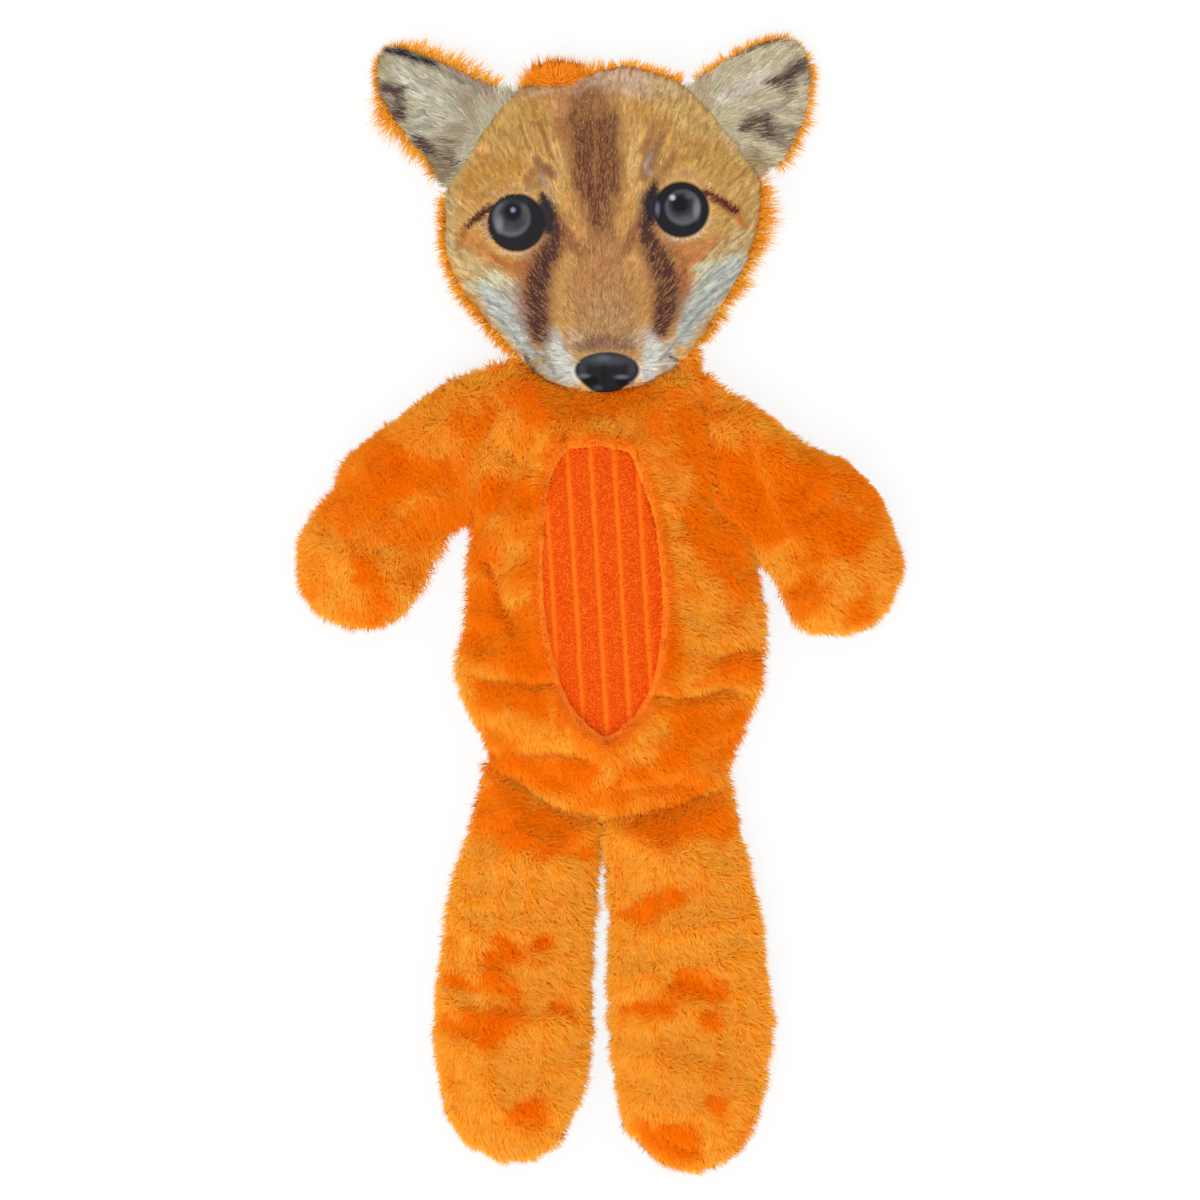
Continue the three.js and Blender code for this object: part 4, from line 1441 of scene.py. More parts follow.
# On the head and the ears, fringe=1.0 gives the pile the full painted rim light all over
pile_ready(skins["head"], head_flow, mask=away_from_chin, outward=3, fringe=1.0)
trimmed(skins["head"])
furred(skins["head"], "head_pile", FRINGE, 11)

# A fold of the back plush stands up over the forehead as a tuft
TUFT_OUTLINE = ((530, 84), (535, 73), (546, 67), (560, 66), (574, 67), (583, 74), (584, 80),
                (560, 88))
TUFT_STEP, TUFT_LEVELS = 1.6 * MM, (11.5 * MM, 5 * MM, 8.5 * MM)
skins["head_tuft"] = smoothed(
    even_pillow("head_tuft", pixels(TUFT_OUTLINE)[::-1], TUFT_STEP, TUFT_LEVELS))
# The tuft's pile gets part of the painted rim light all over
pile_ready(skins["head_tuft"], lambda x, y: (-0.2, 2), outward=2, fringe=0.6)
furred(skins["head_tuft"], "head_tuft_pile", FRINGE, 15)
for seed, side in enumerate(SIDES):
    skin = skins[f"ear_{side}_plush"]
    pile_ready(skin, lambda x, y: (0, 0), outward=3, fringe=1.0)
    trimmed(skin)
    furred(skin, f"ear_{side}_pile", FRINGE, 21 + seed)

# %% [markdown]
# The face is a photograph printed on short-pile cloth. Here it is painted with soft brush strokes,
# from the ground colour up: forehead, cheeks, muzzle, tear marks and brows. Each short hair takes
# the colour of the spot that it stands on, slightly shifted along its lie, which draws fine streaks.

# %% Paint of the face
FACE_GROUND = "daa960"
FACE_STROKES = [
    # code, strength, widths and the line, all in pixels of the photograph
    ("d6c38c", 0.85, [28, 26], (466, 128), (455, 165), (449, 200)),
    ("cdb27a", 0.8, [16, 16], (449, 200), (452, 245)),
    ("ceab70", 0.7, [22, 26], (757, 180), (756, 235), (748, 258)),
    ("d0a45c", 0.8, [36], (503, 128), (545, 126)),
    ("d9b46e", 0.8, [30, 44], (652, 108), (712, 122)),
    ("dcc08a", 0.7, [22, 22], (722, 120), (742, 160)),
    ("d6ab58", 0.7, [30], (690, 158), (735, 165)),
    ("cf943c", 0.7, [26, 24, 22], (462, 190), (480, 172), (515, 168)),
    ("c98a3a", 0.6, [12, 14], (478, 200), (505, 186)),
    ("cba986", 0.9, [18, 22, 22], (514, 90), (545, 86), (575, 90)),
    ("dcb99e", 0.95, [34, 40, 30], (588, 84), (615, 76), (646, 86)),
    ("d8bb88", 0.85, [22], (655, 84), (684, 92)),
    ("d99c66", 0.75, [30, 24], (562, 104), (564, 136)),
    ("c9804c", 0.6, [16, 12], (556, 122), (566, 140)),
    ("e0ac62", 0.85, [22, 18], (628, 112), (632, 165)),
    ("d69a50", 0.8, [22, 20], (640, 112), (668, 128)),
    ("d39c50", 0.75, [26, 20], (533, 112), (548, 140)),
    ("8c5139", 0.92, [50, 66, 62, 52], (590, 106), (592, 126), (594, 150), (597, 172)),
    ("8b4e34", 0.92, [54, 54, 50, 40], (597, 165), (599, 195), (601, 222), (602, 248)),
    ("663229", 0.75, [12, 18, 14], (574, 116), (582, 146), (578, 186)),
    ("663229", 0.75, [10, 15, 14], (588, 122), (591, 150), (588, 196)),
    ("68342a", 0.75, [10, 15, 13], (602, 120), (601, 150), (603, 200)),
    ("663229", 0.75, [10, 15, 13], (614, 116), (610, 146), (615, 190)),
    ("642f28", 0.78, [12, 16, 13], (592, 190), (596, 220), (600, 236)),
    ("7a4434", 0.7, [6, 8], (608, 206), (610, 232)),
    ("c08a5a", 0.5, [4, 5], (596, 98), (596, 118)),
    ("bb8458", 0.5, [3, 5, 3], (597, 148), (594, 168), (596, 184)),
    ("c08c54", 0.6, [4, 7], (586, 206), (583, 244)),
    ("c08c54", 0.6, [4, 7], (614, 200), (618, 240)),
    ("e2b670", 0.9, [7, 11, 8], (550, 130), (560, 166), (561, 200)),
    ("e4b874", 0.9, [8, 13, 9], (637, 128), (633, 172), (640, 206)),
    ("b5773f", 0.8, [4, 5], (570, 136), (573, 168)),
    ("dba05a", 0.85, [16, 18], (568, 200), (579, 234)),
    ("dba05a", 0.85, [14, 16], (630, 196), (622, 232)),
    ("b67d42", 0.7, [3, 4], (503, 132), (520, 152)),
    ("b0743c", 0.75, [3, 5], (520, 126), (530, 152)),
    ("9a5f3e", 0.7, [6, 7], (540, 124), (551, 158)),
    ("84463a", 0.62, [9, 13, 11], (526, 182), (538, 170), (549, 172)),
    ("744440", 0.65, [8, 11], (536, 160), (553, 176)),
    ("7a4a44", 0.5, [9, 11], (528, 190), (542, 184)),
    ("b7a69c", 0.6, [5, 6, 6], (541, 176), (549, 189), (553, 204)),
    ("9e5f42", 0.7, [7, 9], (655, 124), (644, 152)),
    ("80463c", 0.72, [10, 18, 14], (662, 136), (652, 156), (644, 178)),
    ("843e2e", 0.55, [10, 14], (674, 156), (660, 178)),
    ("bcb0aa", 0.55, [5, 7, 6], (650, 156), (646, 167), (649, 176)),
    ("c48746", 0.7, [5, 6], (668, 148), (708, 144)),
    ("c07c3e", 0.6, [5, 6], (672, 162), (700, 158)),
    ("cc8440", 0.7, [8, 7], (478, 156), (502, 164)),
    ("cda274", 0.6, [5, 6, 5], (487, 196), (512, 189), (533, 194)),
    ("cda274", 0.6, [5, 6, 5], (662, 178), (690, 176), (707, 188)),
    ("d08a44", 0.85, [18, 22, 18], (470, 238), (492, 262), (524, 272)),
    ("c06e34", 0.75, [7, 12, 10], (490, 256), (508, 266), (530, 268)),
    ("cc8048", 0.85, [16, 22, 16], (664, 250), (692, 252), (724, 242)),
    ("b96636", 0.7, [8, 10, 8], (672, 254), (690, 262), (704, 258)),
    ("d3a660", 0.7, [16, 14], (716, 222), (742, 238)),
    ("d2b984", 0.9, [22, 26, 22], (455, 250), (470, 268), (494, 276)),
    ("ccb684", 0.9, [30, 24], (742, 240), (715, 262)),
    ("dcbb9e", 0.9, [3, 4, 5, 4], (498, 251), (522, 255), (541, 246), (549, 234)),
    ("dcbb9e", 0.9, [4, 5, 5, 5], (656, 236), (678, 241), (698, 234), (709, 218)),
    ("b98a78", 0.8, [5, 7], (485, 216), (489, 236)),
    ("cfceae", 0.9, [16, 20, 16], (474, 286), (494, 281), (518, 288)),
    ("c3c8bd", 1.0, [22, 36, 34, 22], (488, 292), (504, 308), (517, 328), (524, 342)),
    ("cdcec2", 0.9, [14, 14], (518, 294), (527, 312)),
    ("cfceae", 0.9, [18, 16], (742, 262), (700, 270)),
    ("c3c8bd", 1.0, [26, 40, 36, 20], (734, 268), (712, 288), (693, 312), (682, 338)),
    ("98a2a2", 0.85, [3, 3.4, 3], (480, 298), (504, 309), (530, 334)),
    ("939d9d", 0.85, [3, 3.4, 3], (486, 311), (504, 322), (520, 344)),
    ("98a2a2", 0.7, [3, 3], (502, 290), (526, 314)),
    ("939d9d", 0.85, [3, 3.4, 3], (744, 272), (716, 288), (680, 322)),
    ("939d9d", 0.85, [3, 3.4, 3], (728, 290), (700, 311), (678, 338)),
    ("98a2a2", 0.7, [3, 3], (722, 268), (688, 296)),
    ("adada4", 0.95, [18, 24, 18], (528, 350), (545, 364), (562, 376)),
    ("d2d3cb", 1.0, [20, 26, 22], (552, 336), (561, 354), (572, 376)),
    ("d8d9d2", 1.0, [22, 30, 20], (648, 338), (652, 356), (646, 376)),
    ("bcbcb5", 0.9, [14, 16], (668, 346), (668, 366)),
    ("85837f", 0.8, [3, 3], (528, 342), (546, 362)),
    ("85837f", 0.7, [3, 3], (546, 350), (556, 374)),
    ("85837f", 0.7, [3, 3], (676, 340), (658, 362)),
    ("463636", 0.95, [4, 7, 4], (526, 356), (533, 368), (544, 380)),
    ("5a4444", 0.9, [3, 4], (668, 356), (678, 361)),
    ("8d6a5c", 0.7, [4, 4], (646, 384), (672, 370)),
    ("b7804c", 1.0, [60, 86, 92, 82], (601, 262), (603, 285), (605, 308), (606, 328)),
    ("c08854", 0.8, [40, 60], (601, 254), (602, 290)),
    ("bb9260", 0.85, [60, 72], (606, 316), (606, 334)),
    ("c8b090", 0.7, [16, 14], (574, 336), (582, 344)),
    ("c8b090", 0.7, [16, 14], (638, 336), (630, 344)),
    ("7a5650", 0.9, [12, 18, 12], (582, 347), (605, 342), (630, 347)),
    ("9c5236", 0.8, [24, 38, 44, 46, 42, 28], (558, 227), (552, 246), (540, 268), (535, 290),
     (537, 314), (542, 334)),
    ("a6502e", 0.75, [9, 12], (526, 262), (528, 298)),
    ("4f2a2a", 0.98, [14, 23, 26, 29, 29, 20], (560, 232), (553, 246), (543, 266), (537, 290),
     (537, 314), (542, 336)),
    ("9c5236", 0.8, [24, 36, 42, 44, 40, 27], (644, 222), (650, 242), (660, 262), (667, 283),
     (666, 305), (661, 327)),
    ("a6502e", 0.75, [8, 12], (682, 262), (683, 292)),
    ("512b2a", 0.98, [14, 23, 26, 29, 27, 20], (643, 228), (649, 244), (659, 262), (666, 281),
     (665, 305), (660, 329)),
    ("8f4c36", 0.9, [14, 16, 10], (561, 230), (570, 243), (580, 253)),
    ("8f4c36", 0.9, [12, 13, 8], (635, 230), (630, 243), (625, 254)),
    ("4c3032", 0.97, [9, 22, 20], (541, 197), (549, 214), (553, 232)),
    ("4c3032", 0.97, [10, 23, 20], (655, 185), (648, 203), (648, 224)),
    ("34282e", 1.0, [10, 20, 12], (543, 200), (546, 214), (548, 229)),
    ("30262c", 1.0, [10, 18, 10], (655, 190), (652, 205), (651, 219)),
    ("54201f", 1.0, [8, 9, 6], (492, 207), (481, 216), (468, 227)),
    ("b4692e", 0.9, [8, 10], (465, 231), (461, 246)),
    ("6a1d20", 1.0, [8, 11, 12], (705, 192), (720, 203), (735, 212)),
    ("d06c2c", 0.9, [8, 8], (739, 219), (743, 227)),
]
EAR_STROKES = {
    "left": ("d6cfb2", [
        ("bdaf82", 0.9, [16, 14], (384, 62), (380, 88)),
        ("b8a286", 0.8, [20, 26, 22], (468, 104), (464, 128), (450, 150)),
        ("c9b9a0", 0.7, [20, 18], (480, 98), (500, 104)),
        ("bb9c90", 0.85, [10, 12, 10], (446, 66), (470, 80), (494, 98)),
        ("7c7566", 0.8, [3, 4, 3], (440, 72), (458, 80), (480, 92)),
        ("332b38", 1.0, [8, 12, 12, 5], (391, 50), (406, 55), (424, 63), (438, 67)),
        ("5c3b3f", 1.0, [14, 16, 8], (388, 92), (400, 92), (414, 88)),
        ("30241f", 0.9, [8, 8], (384, 100), (390, 106)),
        ("7d5a60", 0.9, [14, 12], (392, 108), (396, 124)),
        ("5c3a40", 1.0, [12, 15], (403, 100), (404, 118)),
        ("e4e0cf", 0.8, [14, 18, 12], (404, 76), (424, 92), (440, 100)),
        ("e0dbc8", 0.8, [12, 16, 12], (424, 120), (440, 112), (462, 118)),
        ("7a5f42", 0.75, [14, 20, 18], (424, 142), (440, 158), (452, 168)),
        ("77716a", 0.7, [4, 4], (408, 120), (430, 112)),
        ("8a8478", 0.7, [4, 5], (410, 132), (440, 126)),
        ("5c3b3f", 1.0, [12, 15, 9], (420, 140), (430, 147), (438, 153)),
        ("7a5648", 0.8, [4, 5], (434, 139), (460, 142)),
        ("8c6a4c", 0.85, [12, 10], (442, 158), (448, 164)),
        ("4a3528", 0.9, [7, 8], (452, 150), (456, 162)),
        ("9a7848", 0.9, [14, 14], (436, 166), (446, 178)),
    ]),
    "right": ("dccfb0", [
        ("cfc8a0", 0.8, [24, 26], (716, 100), (722, 136)),
        ("c2ac88", 0.8, [20, 16], (700, 84), (705, 108)),
        ("c5a48c", 0.6, [16, 14], (726, 94), (740, 92)),
        ("463318", 0.95, [3, 5, 4], (728, 60), (752, 49), (772, 42)),
        ("5e3c40", 1.0, [8, 17, 17], (764, 82), (780, 82), (796, 68)),
        ("6c484c", 0.9, [12, 9], (786, 84), (784, 99)),
        ("66544c", 0.8, [6, 7], (800, 60), (803, 82)),
        ("ebe6d6", 0.8, [12, 18, 14], (716, 104), (736, 92), (760, 76)),
        ("6e523e", 0.8, [16, 24, 16], (746, 122), (762, 130), (778, 142)),
        ("94908a", 0.7, [5, 5, 4], (756, 112), (772, 108), (784, 104)),
        ("5f4636", 1.0, [9, 17, 9], (740, 130), (749, 122), (762, 119)),
        ("5c3a3e", 1.0, [12, 15], (762, 122), (763, 136)),
        ("83706a", 0.8, [5, 8], (774, 126), (792, 130)),
        ("8f7b70", 0.7, [9, 9], (770, 142), (780, 138)),
        ("b39a68", 0.8, [18, 20], (736, 160), (758, 165)),
        ("9a7a50", 0.7, [12, 10], (752, 152), (756, 164)),
    ]),
}

# %% Brushes for the print
NOSE, NOSE_HALF = Vector(at(607, 372.4)), (32 * PIXEL, 20.5 * PIXEL)
EYES = [(Vector(at(516.4, 222.7)), 29 * PIXEL), (Vector(at(681.2, 209.7)), 28.5 * PIXEL)]
LID_REACH, LID_SHARE = 14 * PIXEL, 0.9


def face_flow(x, y):
    """Hair lies away from the nose and parts round the eyes."""
    here = Vector((x, y))
    way = (here - NOSE).normalized()
    for middle, radius in EYES:
        off = here - middle
        near = max(0, 1 - max(0, off.length - radius) / LID_REACH)
        way = way.lerp(off.normalized() if off.length > 0 else way, LID_SHARE * near)
    return tuple(way)


# The tip and the middle of each ear
EAR_LIES = {"left": (at(390, 75), at(480, 130)), "right": (at(800, 65), at(715, 120))}
EAR_SPREAD = 0.6


def ear_flow(side):
    """Hair runs to the ear's tip and spreads from its middle."""
    tip, foot = (Vector(p) for p in EAR_LIES[side])
    lie = (tip - foot).normalized()
    return lambda x, y: tuple(
        (lie + (Vector((x, y)) - foot).normalized() * EAR_SPREAD).normalized())


def print_ready(skin, flow, bare=None):
    """Paints comb, pile and thick on a printed skin."""
    rows = spots_of(skin)
    way = np.array([(*flow(x, y), 0) for x, y in rows[:, :2]])
    carry(skin, "comb", way, "FLOAT_VECTOR")
    carry(skin, "pile", np.ones(len(rows)))
    upward = vertex_normals(skin)[:, 2] > 0.05
    carry(skin, "thick", upward * (1.0 if bare is None else bare(rows)))


def off_eyes_and_nose(rows):
    """0 on the eyes and the nose, where the print shows no fur."""
    free = np.ones(len(rows))
    for middle, radius in EYES:
        away = np.linalg.norm(as_seen(rows) - np.array(middle), axis=1)
        free *= away > radius + 0.3 * MM
    shape = (as_seen(rows) - np.array(NOSE)) / np.array(NOSE_HALF)
    return free * (np.linalg.norm(shape, axis=1) > 1.04)


def dye_cloth(skin, ground, strokes):
    shades = painted(as_seen(spots_of(skin)), ground, strokes)
    carry(skin, "dye", np.c_[shades, np.ones(len(shades))], "FLOAT_COLOR")


def of_strands(pile, name):
    """One row for each strand of a vector that the tree stored."""
    return rows_of(pile.data.attributes[name].data, "vector")[::STRAND_POINTS]


WARP, WARP_SCALE = 0.5, 300
# The share, the scales across and along the lie, and the layer of the noise
STREAKS = (1.0, 900, 170, 3), (0.6, 2100, 420, 8)
STREAK_GAIN = 1.6
CONTRAST, STREAK_LIGHT, LUCK_LIGHT = 0.42, 0.8, 0.9
BROWNER = np.array([1, 1.15, 1.35])


def streaks_at(roots, way):
    """Streaks along the lie of the hair, from -1 to 1."""
    side = np.c_[-way[:, 1], way[:, 0]]
    along, beside = (roots[:, :2] * way).sum(axis=1), (roots[:, :2] * side).sum(axis=1)
    found = [sum(share * noise.noise(Vector((b * across, a * down, layer)))
                 for share, across, down, layer in STREAKS)
             for a, b in zip(along, beside, strict=True)]
    return np.clip(np.array(found) * STREAK_GAIN, -1, 1)


def dye_hairs(pile, ground, strokes, flow, shift):
    """Each hair's own colour: the paint a little way along its lie, lighter or darker by chance."""
    roots, luck = of_strands(pile, "root"), of_strands(pile, "luck")
    way = np.array([flow(x, y) for x, y in roots[:, :2]])
    warp = np.array([noise.noise_vector(Vector((x, y, 0)) * WARP_SCALE)[:2]
                     for x, y in roots[:, :2]])
    places = as_seen(roots) + way * ((luck[:, :1] - 0.5) * 2 * shift) + warp * WARP * shift
    streaks = streaks_at(roots, way)
    shades = painted(places, ground, strokes, streaks)
    # Among the hairs of a dark mark stand some of the ground's colour, but none in the darkest ones
    tone = shades.mean(axis=1)
    mixed = soft(tone, 0.05, 0.1) * (1 - soft(tone, 0.16, 0.3))
    mixed *= np.clip(luck[:, 2] * 2.4 - 1.3, 0, 0.75)
    shades += mixed[:, None] * (np.array(colour(ground)) * 0.85 - shades)
    light = streaks * STREAK_LIGHT + (luck[:, 1] - 0.5) * LUCK_LIGHT
    bright = np.exp(CONTRAST * light)[:, None]
    # Dark hairs are browner as well, not only dimmer
    shades = np.clip(shades * np.where(bright < 1, bright ** BROWNER, bright), 0, 1)
    dye = np.repeat(np.c_[shades, np.ones(len(shades))], STRAND_POINTS, axis=0)
    carry(pile, "dye", dye, "FLOAT_COLOR")


# %% Material of the print and of its hairs
# Printed hairs are darker towards their roots: painted shade between the hairs
HAIR_ROOT_SHADE, HAIR_TIP_GAIN = 0.79, 0.17


def hair_material():
    made, board, shader = material("printed hair")
    tone = attribute(board, "dye", "Color") * (HAIR_ROOT_SHADE + attribute(board, "along") * HAIR_TIP_GAIN)
    dress(board, shader, {"Base Color": tone, "Roughness": 0.7, "Specular IOR Level": 0.2})
    return made


def mark(board, spot, ground, middle, size, code, strength, edge):
    """A round or oval mark on a ground colour."""
    half = (size, size) if isinstance(size, (int, float)) else size
    off = board.vector("SUBTRACT", spot, (*at(*middle), 0))
    scaled = off * (1 / (half[0] * PIXEL), 1 / (half[1] * PIXEL), 0)
    away = board.vector("LENGTH", scaled, out="Value")
    weight = 1 - board.smooth(away, 1 - edge, 1 + edge)
    return board.mix(weight * strength, ground, colour(code))


MARKS = [
    # the middle, the half size, the colour, its strength and how soft its edge is
    # left eye
    ((516.4, 222.7), 29.5, "1e1c1f", 1.0, 0.08),
    ((511.5, 218), 18.5, "67666c", 0.8, 0.14), ((513, 216.5), 15, "35363b", 0.95, 0.25),
    ((499.5, 224), (3.5, 7), "8d888c", 0.6, 0.9), ((524, 210), (3, 8), "5a5c5c", 0.5, 0.9),
    ((515, 200), (14, 5), "232225", 0.8, 0.8), ((512.5, 212), 9, "151519", 1.0, 0.4),
    ((508, 229), (6, 3), "4b4a50", 0.6, 0.9), ((513, 210), 2.4, "7f83a2", 1.0, 0.7),
    # right eye
    ((681.2, 209.7), 28.5, "1d1b1f", 1.0, 0.08),
    ((683, 207.5), 17.5, "65666c", 0.75, 0.14), ((681.5, 205.5), 14, "34353b", 0.95, 0.25),
    ((696.5, 209), (3, 8), "8a8b92", 0.6, 0.9), ((680, 204), 9, "131317", 1.0, 0.4),
    ((686, 219), (7, 3), "56565c", 0.6, 0.9), ((657.5, 209), (2.2, 6), "6f7280", 0.7, 0.8),
    ((672.5, 197.5), 2.6, "b4b8c2", 1.0, 0.7), ((690, 196), (4, 2.5), "5f6168", 0.6, 0.9),
    # nose
    ((607, 370), (32.5, 18), "1b1b1f", 1.0, 0.08), ((606, 376), (24, 18), "1b1b1f", 1.0, 0.1),
    ((607, 360), (23, 5), "45484f", 0.8, 0.8), ((603, 358), (6, 3), "5d616a", 0.6, 0.9),
    ((582, 369), (4, 8), "3c3e45", 0.7, 0.8), ((632, 369), (4, 8), "3c3e45", 0.7, 0.8),
    ((604, 374), (3, 9), "0c0c0f", 0.8, 0.8), ((590, 381), (8, 4.5), "08080a", 1.0, 0.4),
    ((625, 381), (8, 4.5), "08080a", 1.0, 0.4), ((584, 376), (5, 2), "6c707a", 0.7, 0.9),
    ((622, 377), (6, 2), "6c707a", 0.7, 0.9), ((598, 388), (4, 2.4), "4a4c54", 0.6, 0.8),
    ((632, 384), (3, 3), "7b7d84", 0.6, 0.9),
]


def print_material():
    """The painted cloth with its eyes and nose, which lie where the camera sees them."""
    made, board, shader = material("printed face")
    spot = board.object_place()
    spot = spot * (1 + (board.parts(spot)[2] - VIEW_LEVEL) * (1 / camera.location.z))
    tone = attribute(board, "dye", "Color")
    for each in MARKS:
        tone = mark(board, spot, tone, *each)
    dress(board, shader, {"Base Color": tone, "Roughness": 0.75, "Specular IOR Level": 0.15})
    return made


PRINT, HAIR = print_material(), hair_material()

# %% Grow the short hairs of the print
HAIRS = {"Stray": 0.5, "Ruffle": 0.25, "Ruffle_size": 9 * MM, "Tuft_size": 2.6 * MM,
         "Tuft_pull": 0.3, "Finish": HAIR}
FACE_HAIR = {**HAIRS, "Density": 1.6e6 if QUICK else 4.8e6, "Length": 1.8 * MM,
             "Width": 0.27 * MM, "Lay": 1.05}
EAR_HAIR = {**HAIRS, "Density": 1.6e6 if QUICK else 4.2e6, "Length": 4 * MM,
            "Width": 0.3 * MM, "Lay": 1.0}


def printed(skin, name, ground, strokes, flow, sizes, seed, shift, bare=None):
    """Paints a printed cloth, grows its short hairs and gives them the paint's colours."""
    print_ready(skin, flow, bare)
    dye_cloth(skin, ground, strokes)
    skin.data.materials.append(PRINT)
    skins[name] = grown(skin, name, Seed=seed, **sizes)
    dye_hairs(skins[name], ground, strokes, flow, shift)


printed(skins["face"], "face_hair", FACE_GROUND, FACE_STROKES, face_flow, FACE_HAIR, 31,
        0.8 * MM, off_eyes_and_nose)
for seed, side in enumerate(SIDES):
    printed(skins[f"ear_{side}_cloth"], f"ear_{side}_hair", *EAR_STROKES[side], ear_flow(side),
            EAR_HAIR, 41 + seed, 2.2 * MM)

# %% [markdown]
# The belly is a cloth of its own: broad bands of terry loops between narrow bare channels. The
# ground cloth is a stretched sheet with the ribs in its shape, and Geometry Nodes sets the loops on
# it.

# %% Belly cloth
RIBS_STEP = 1.6 * MM if QUICK else 0.95 * MM
RIBS_BACK, RIBS_SEAM = 2.2 * MM, 1.6 * MM
LOOP_KINDS = {"Cloth": "Geometry", "Loop": "Object", "Spacing": "Float", "Size": "Float",
              "Seed": "Int", "Finish": "Material"}
LOOP_BUMP, LOOP_WIDTH, LOOP_FACES = 0.25, 0.62, 20

ribs = smoothed(pillow("belly_ribs", BELLY_LINE, RIBS_STEP, belly_height,
                       lambda x, y: crown(x, y) - RIBS_BACK,
                       lambda x, y: crown(x, y) - RIBS_SEAM))
channel = np.array([rib(x, y) for x, y in spots_of(ribs)[:, :2]])
carry(ribs, "channel", channel)
carry(ribs, "thick", (vertex_normals(ribs)[:, 2] > 0.2) * (1 - channel) ** 2)


def loop_tree():
    board = Grower("set loops", LOOP_KINDS, "Loops")
    ask = board.ask
    points = board.add(
        "GeometryNodeDistributePointsOnFaces", {"distribute_method": "POISSON"},
        {"Mesh": ask["Cloth"], "Distance Min": ask["Spacing"], "Density Max": 4e6,
         "Density Factor": board.read("thick"), "Seed": ask["Seed"]})
    luck = board.add("FunctionNodeRandomValue", {"data_type": "FLOAT_VECTOR"}, {8: ask["Seed"]})
    kept = board.keep(points, "luck", luck, "FLOAT_VECTOR")
    return board.finish(board.set_out(kept, ask["Loop"], Rotation=(luck - 0.5) * 5.0,
                                      Scale=ask["Size"] * (0.75 + luck * 0.5)))


def terry_loop():
    """A small lump with uneven sides, like one twisted loop of yarn."""
    mesh = bmesh.new()
    bmesh.ops.create_icosphere(mesh, subdivisions=1, radius=1)
    for vert in mesh.verts:
        vert.co *= 1 + LOOP_BUMP * noise.noise(vert.co * 3)
        vert.co.x *= LOOP_WIDTH
    return from_bmesh(mesh, "loop")


def belly_cloth():
    made, board, shader = material("belly cloth")
    thread = board.cloud(board.object_place() * (1, 0.25, 1), 1500)
    tone = board.mix(attribute(board, "channel"), colour("dc4e0a"), colour("f87818"))
    dress(board, shader, {"Base Color": tone * (0.85 + thread * 0.3), "Roughness": 0.9,
                          "Specular IOR Level": 0.05})
    return made


def belly_yarn():
    made, board, shader = material("belly loops")
    luck = board.parts(attribute(board, "luck", "Vector"))[0]
    fuzz = board.smooth(board.cloud(board.object_place(), 700), 0.45, 0.7)
    tone = board.mix(luck, colour("ea580a"), colour("f87018"))
    dress(board, shader, {"Base Color": board.mix(fuzz * 0.5, tone, colour("cc4206")),
                          "Roughness": 0.9, "Specular IOR Level": 0.05})
    return made


LOOP = terry_loop()
loops = run_tree(ribs, loop_tree(), "belly_loops", Loop=LOOP, Spacing=0.68 * MM,
                 Size=0.56 * MM, Seed=5, Finish=belly_yarn())
ribs.data.materials.append(belly_cloth())
skins["belly"], skins["belly_loops"] = ribs, loops
print("loops", len(loops.data.polygons) // LOOP_FACES)

# %% [markdown]
# Inside lie things that the photograph can't show: loose wads of fibre in head and limbs, a crackling
# film in the body and two squeakers. A wad keeps its solid's shape and gets an uneven, fluffy
# surface, and the film is a thin sheet crumpled by sharp-edged noise. The squeakers stay as the CAD
# model has them.

# %% Wads of fibre
WAD_CELL, WAD_LUMPS, WAD_SINK = 1.6 * MM, 0.45 * MM, 0.9
WADS = {"head_wad": "head_filling", **{f"{limb}_wad": f"{limb}_wadding" for limb in (
    "arm_left", "arm_right", "leg_left", "leg_right")}}


def wad(node, name):
    """A solid's shape in even cells, its surface pulled in unevenly."""
    made = from_bmesh(welded(node), name)
    cells = made.modifiers.new("cells", "REMESH")
    cells.mode, cells.voxel_size = "VOXEL", WAD_CELL
    made.data = made_real(made, cells)
    rows = spots_of(made)
    lumps = [noise.noise(Vector(r) * 130) + 0.5 * noise.noise(Vector(r) * 420) for r in rows]
    raised = (np.array(lumps) - WAD_SINK) * WAD_LUMPS
    put_spots(made, rows + vertex_normals(made) * raised[:, None])
    return smoothed(made)


def fibre_material():
    made, board, shader = material("fibre")
    spot = board.object_place()
    hair = board.cloud(spot * 12 + board.cloud(spot, 160, out=1) * 0.9, 90, 3)
    bump = board.add("ShaderNodeBump", {}, {"Strength": 0.6, "Distance": 0.4 * MM, "Height": hair})
    dress(board, shader, {"Base Color": board.mix(hair, colour("dedbd2"), colour("fbfaf5")),
                          "Roughness": 0.9, "Normal": bump})
    return made


FIBRE = fibre_material()
for name, node in WADS.items():
    skins[name] = wad(node, name)
    skins[name].data.materials.append(FIBRE)

# %% Film
FILM_THICK, FILM_STEP, FILM_LEVEL = 0.12 * MM, 1.5 * MM, 6 * MM
CRUMPLE, CRUMPLE_SCALE = 1.1 * MM, 60
CRUMPLE_BEND, BEND_SCALE = 0.02, 25
FILM_LINE, FILM_SOLID = seam_line("body_crinkle_film"), surface("body_crinkle_film")


def crumple(x, y):
    """Sharp ridges and flat faces between them, as crisp film keeps them."""
    bend = noise.noise_vector(Vector((x, y, 0)) * BEND_SCALE) * CRUMPLE_BEND
    facet = noise.voronoi(Vector((x, y, 0)) * CRUMPLE_SCALE + bend)[0]
    return (facet[1] - facet[0]) * CRUMPLE


def film_side(lift):
    return lambda x, y: (level(FILM_SOLID, x, y, True) or FILM_LEVEL) + crumple(x, y) + lift


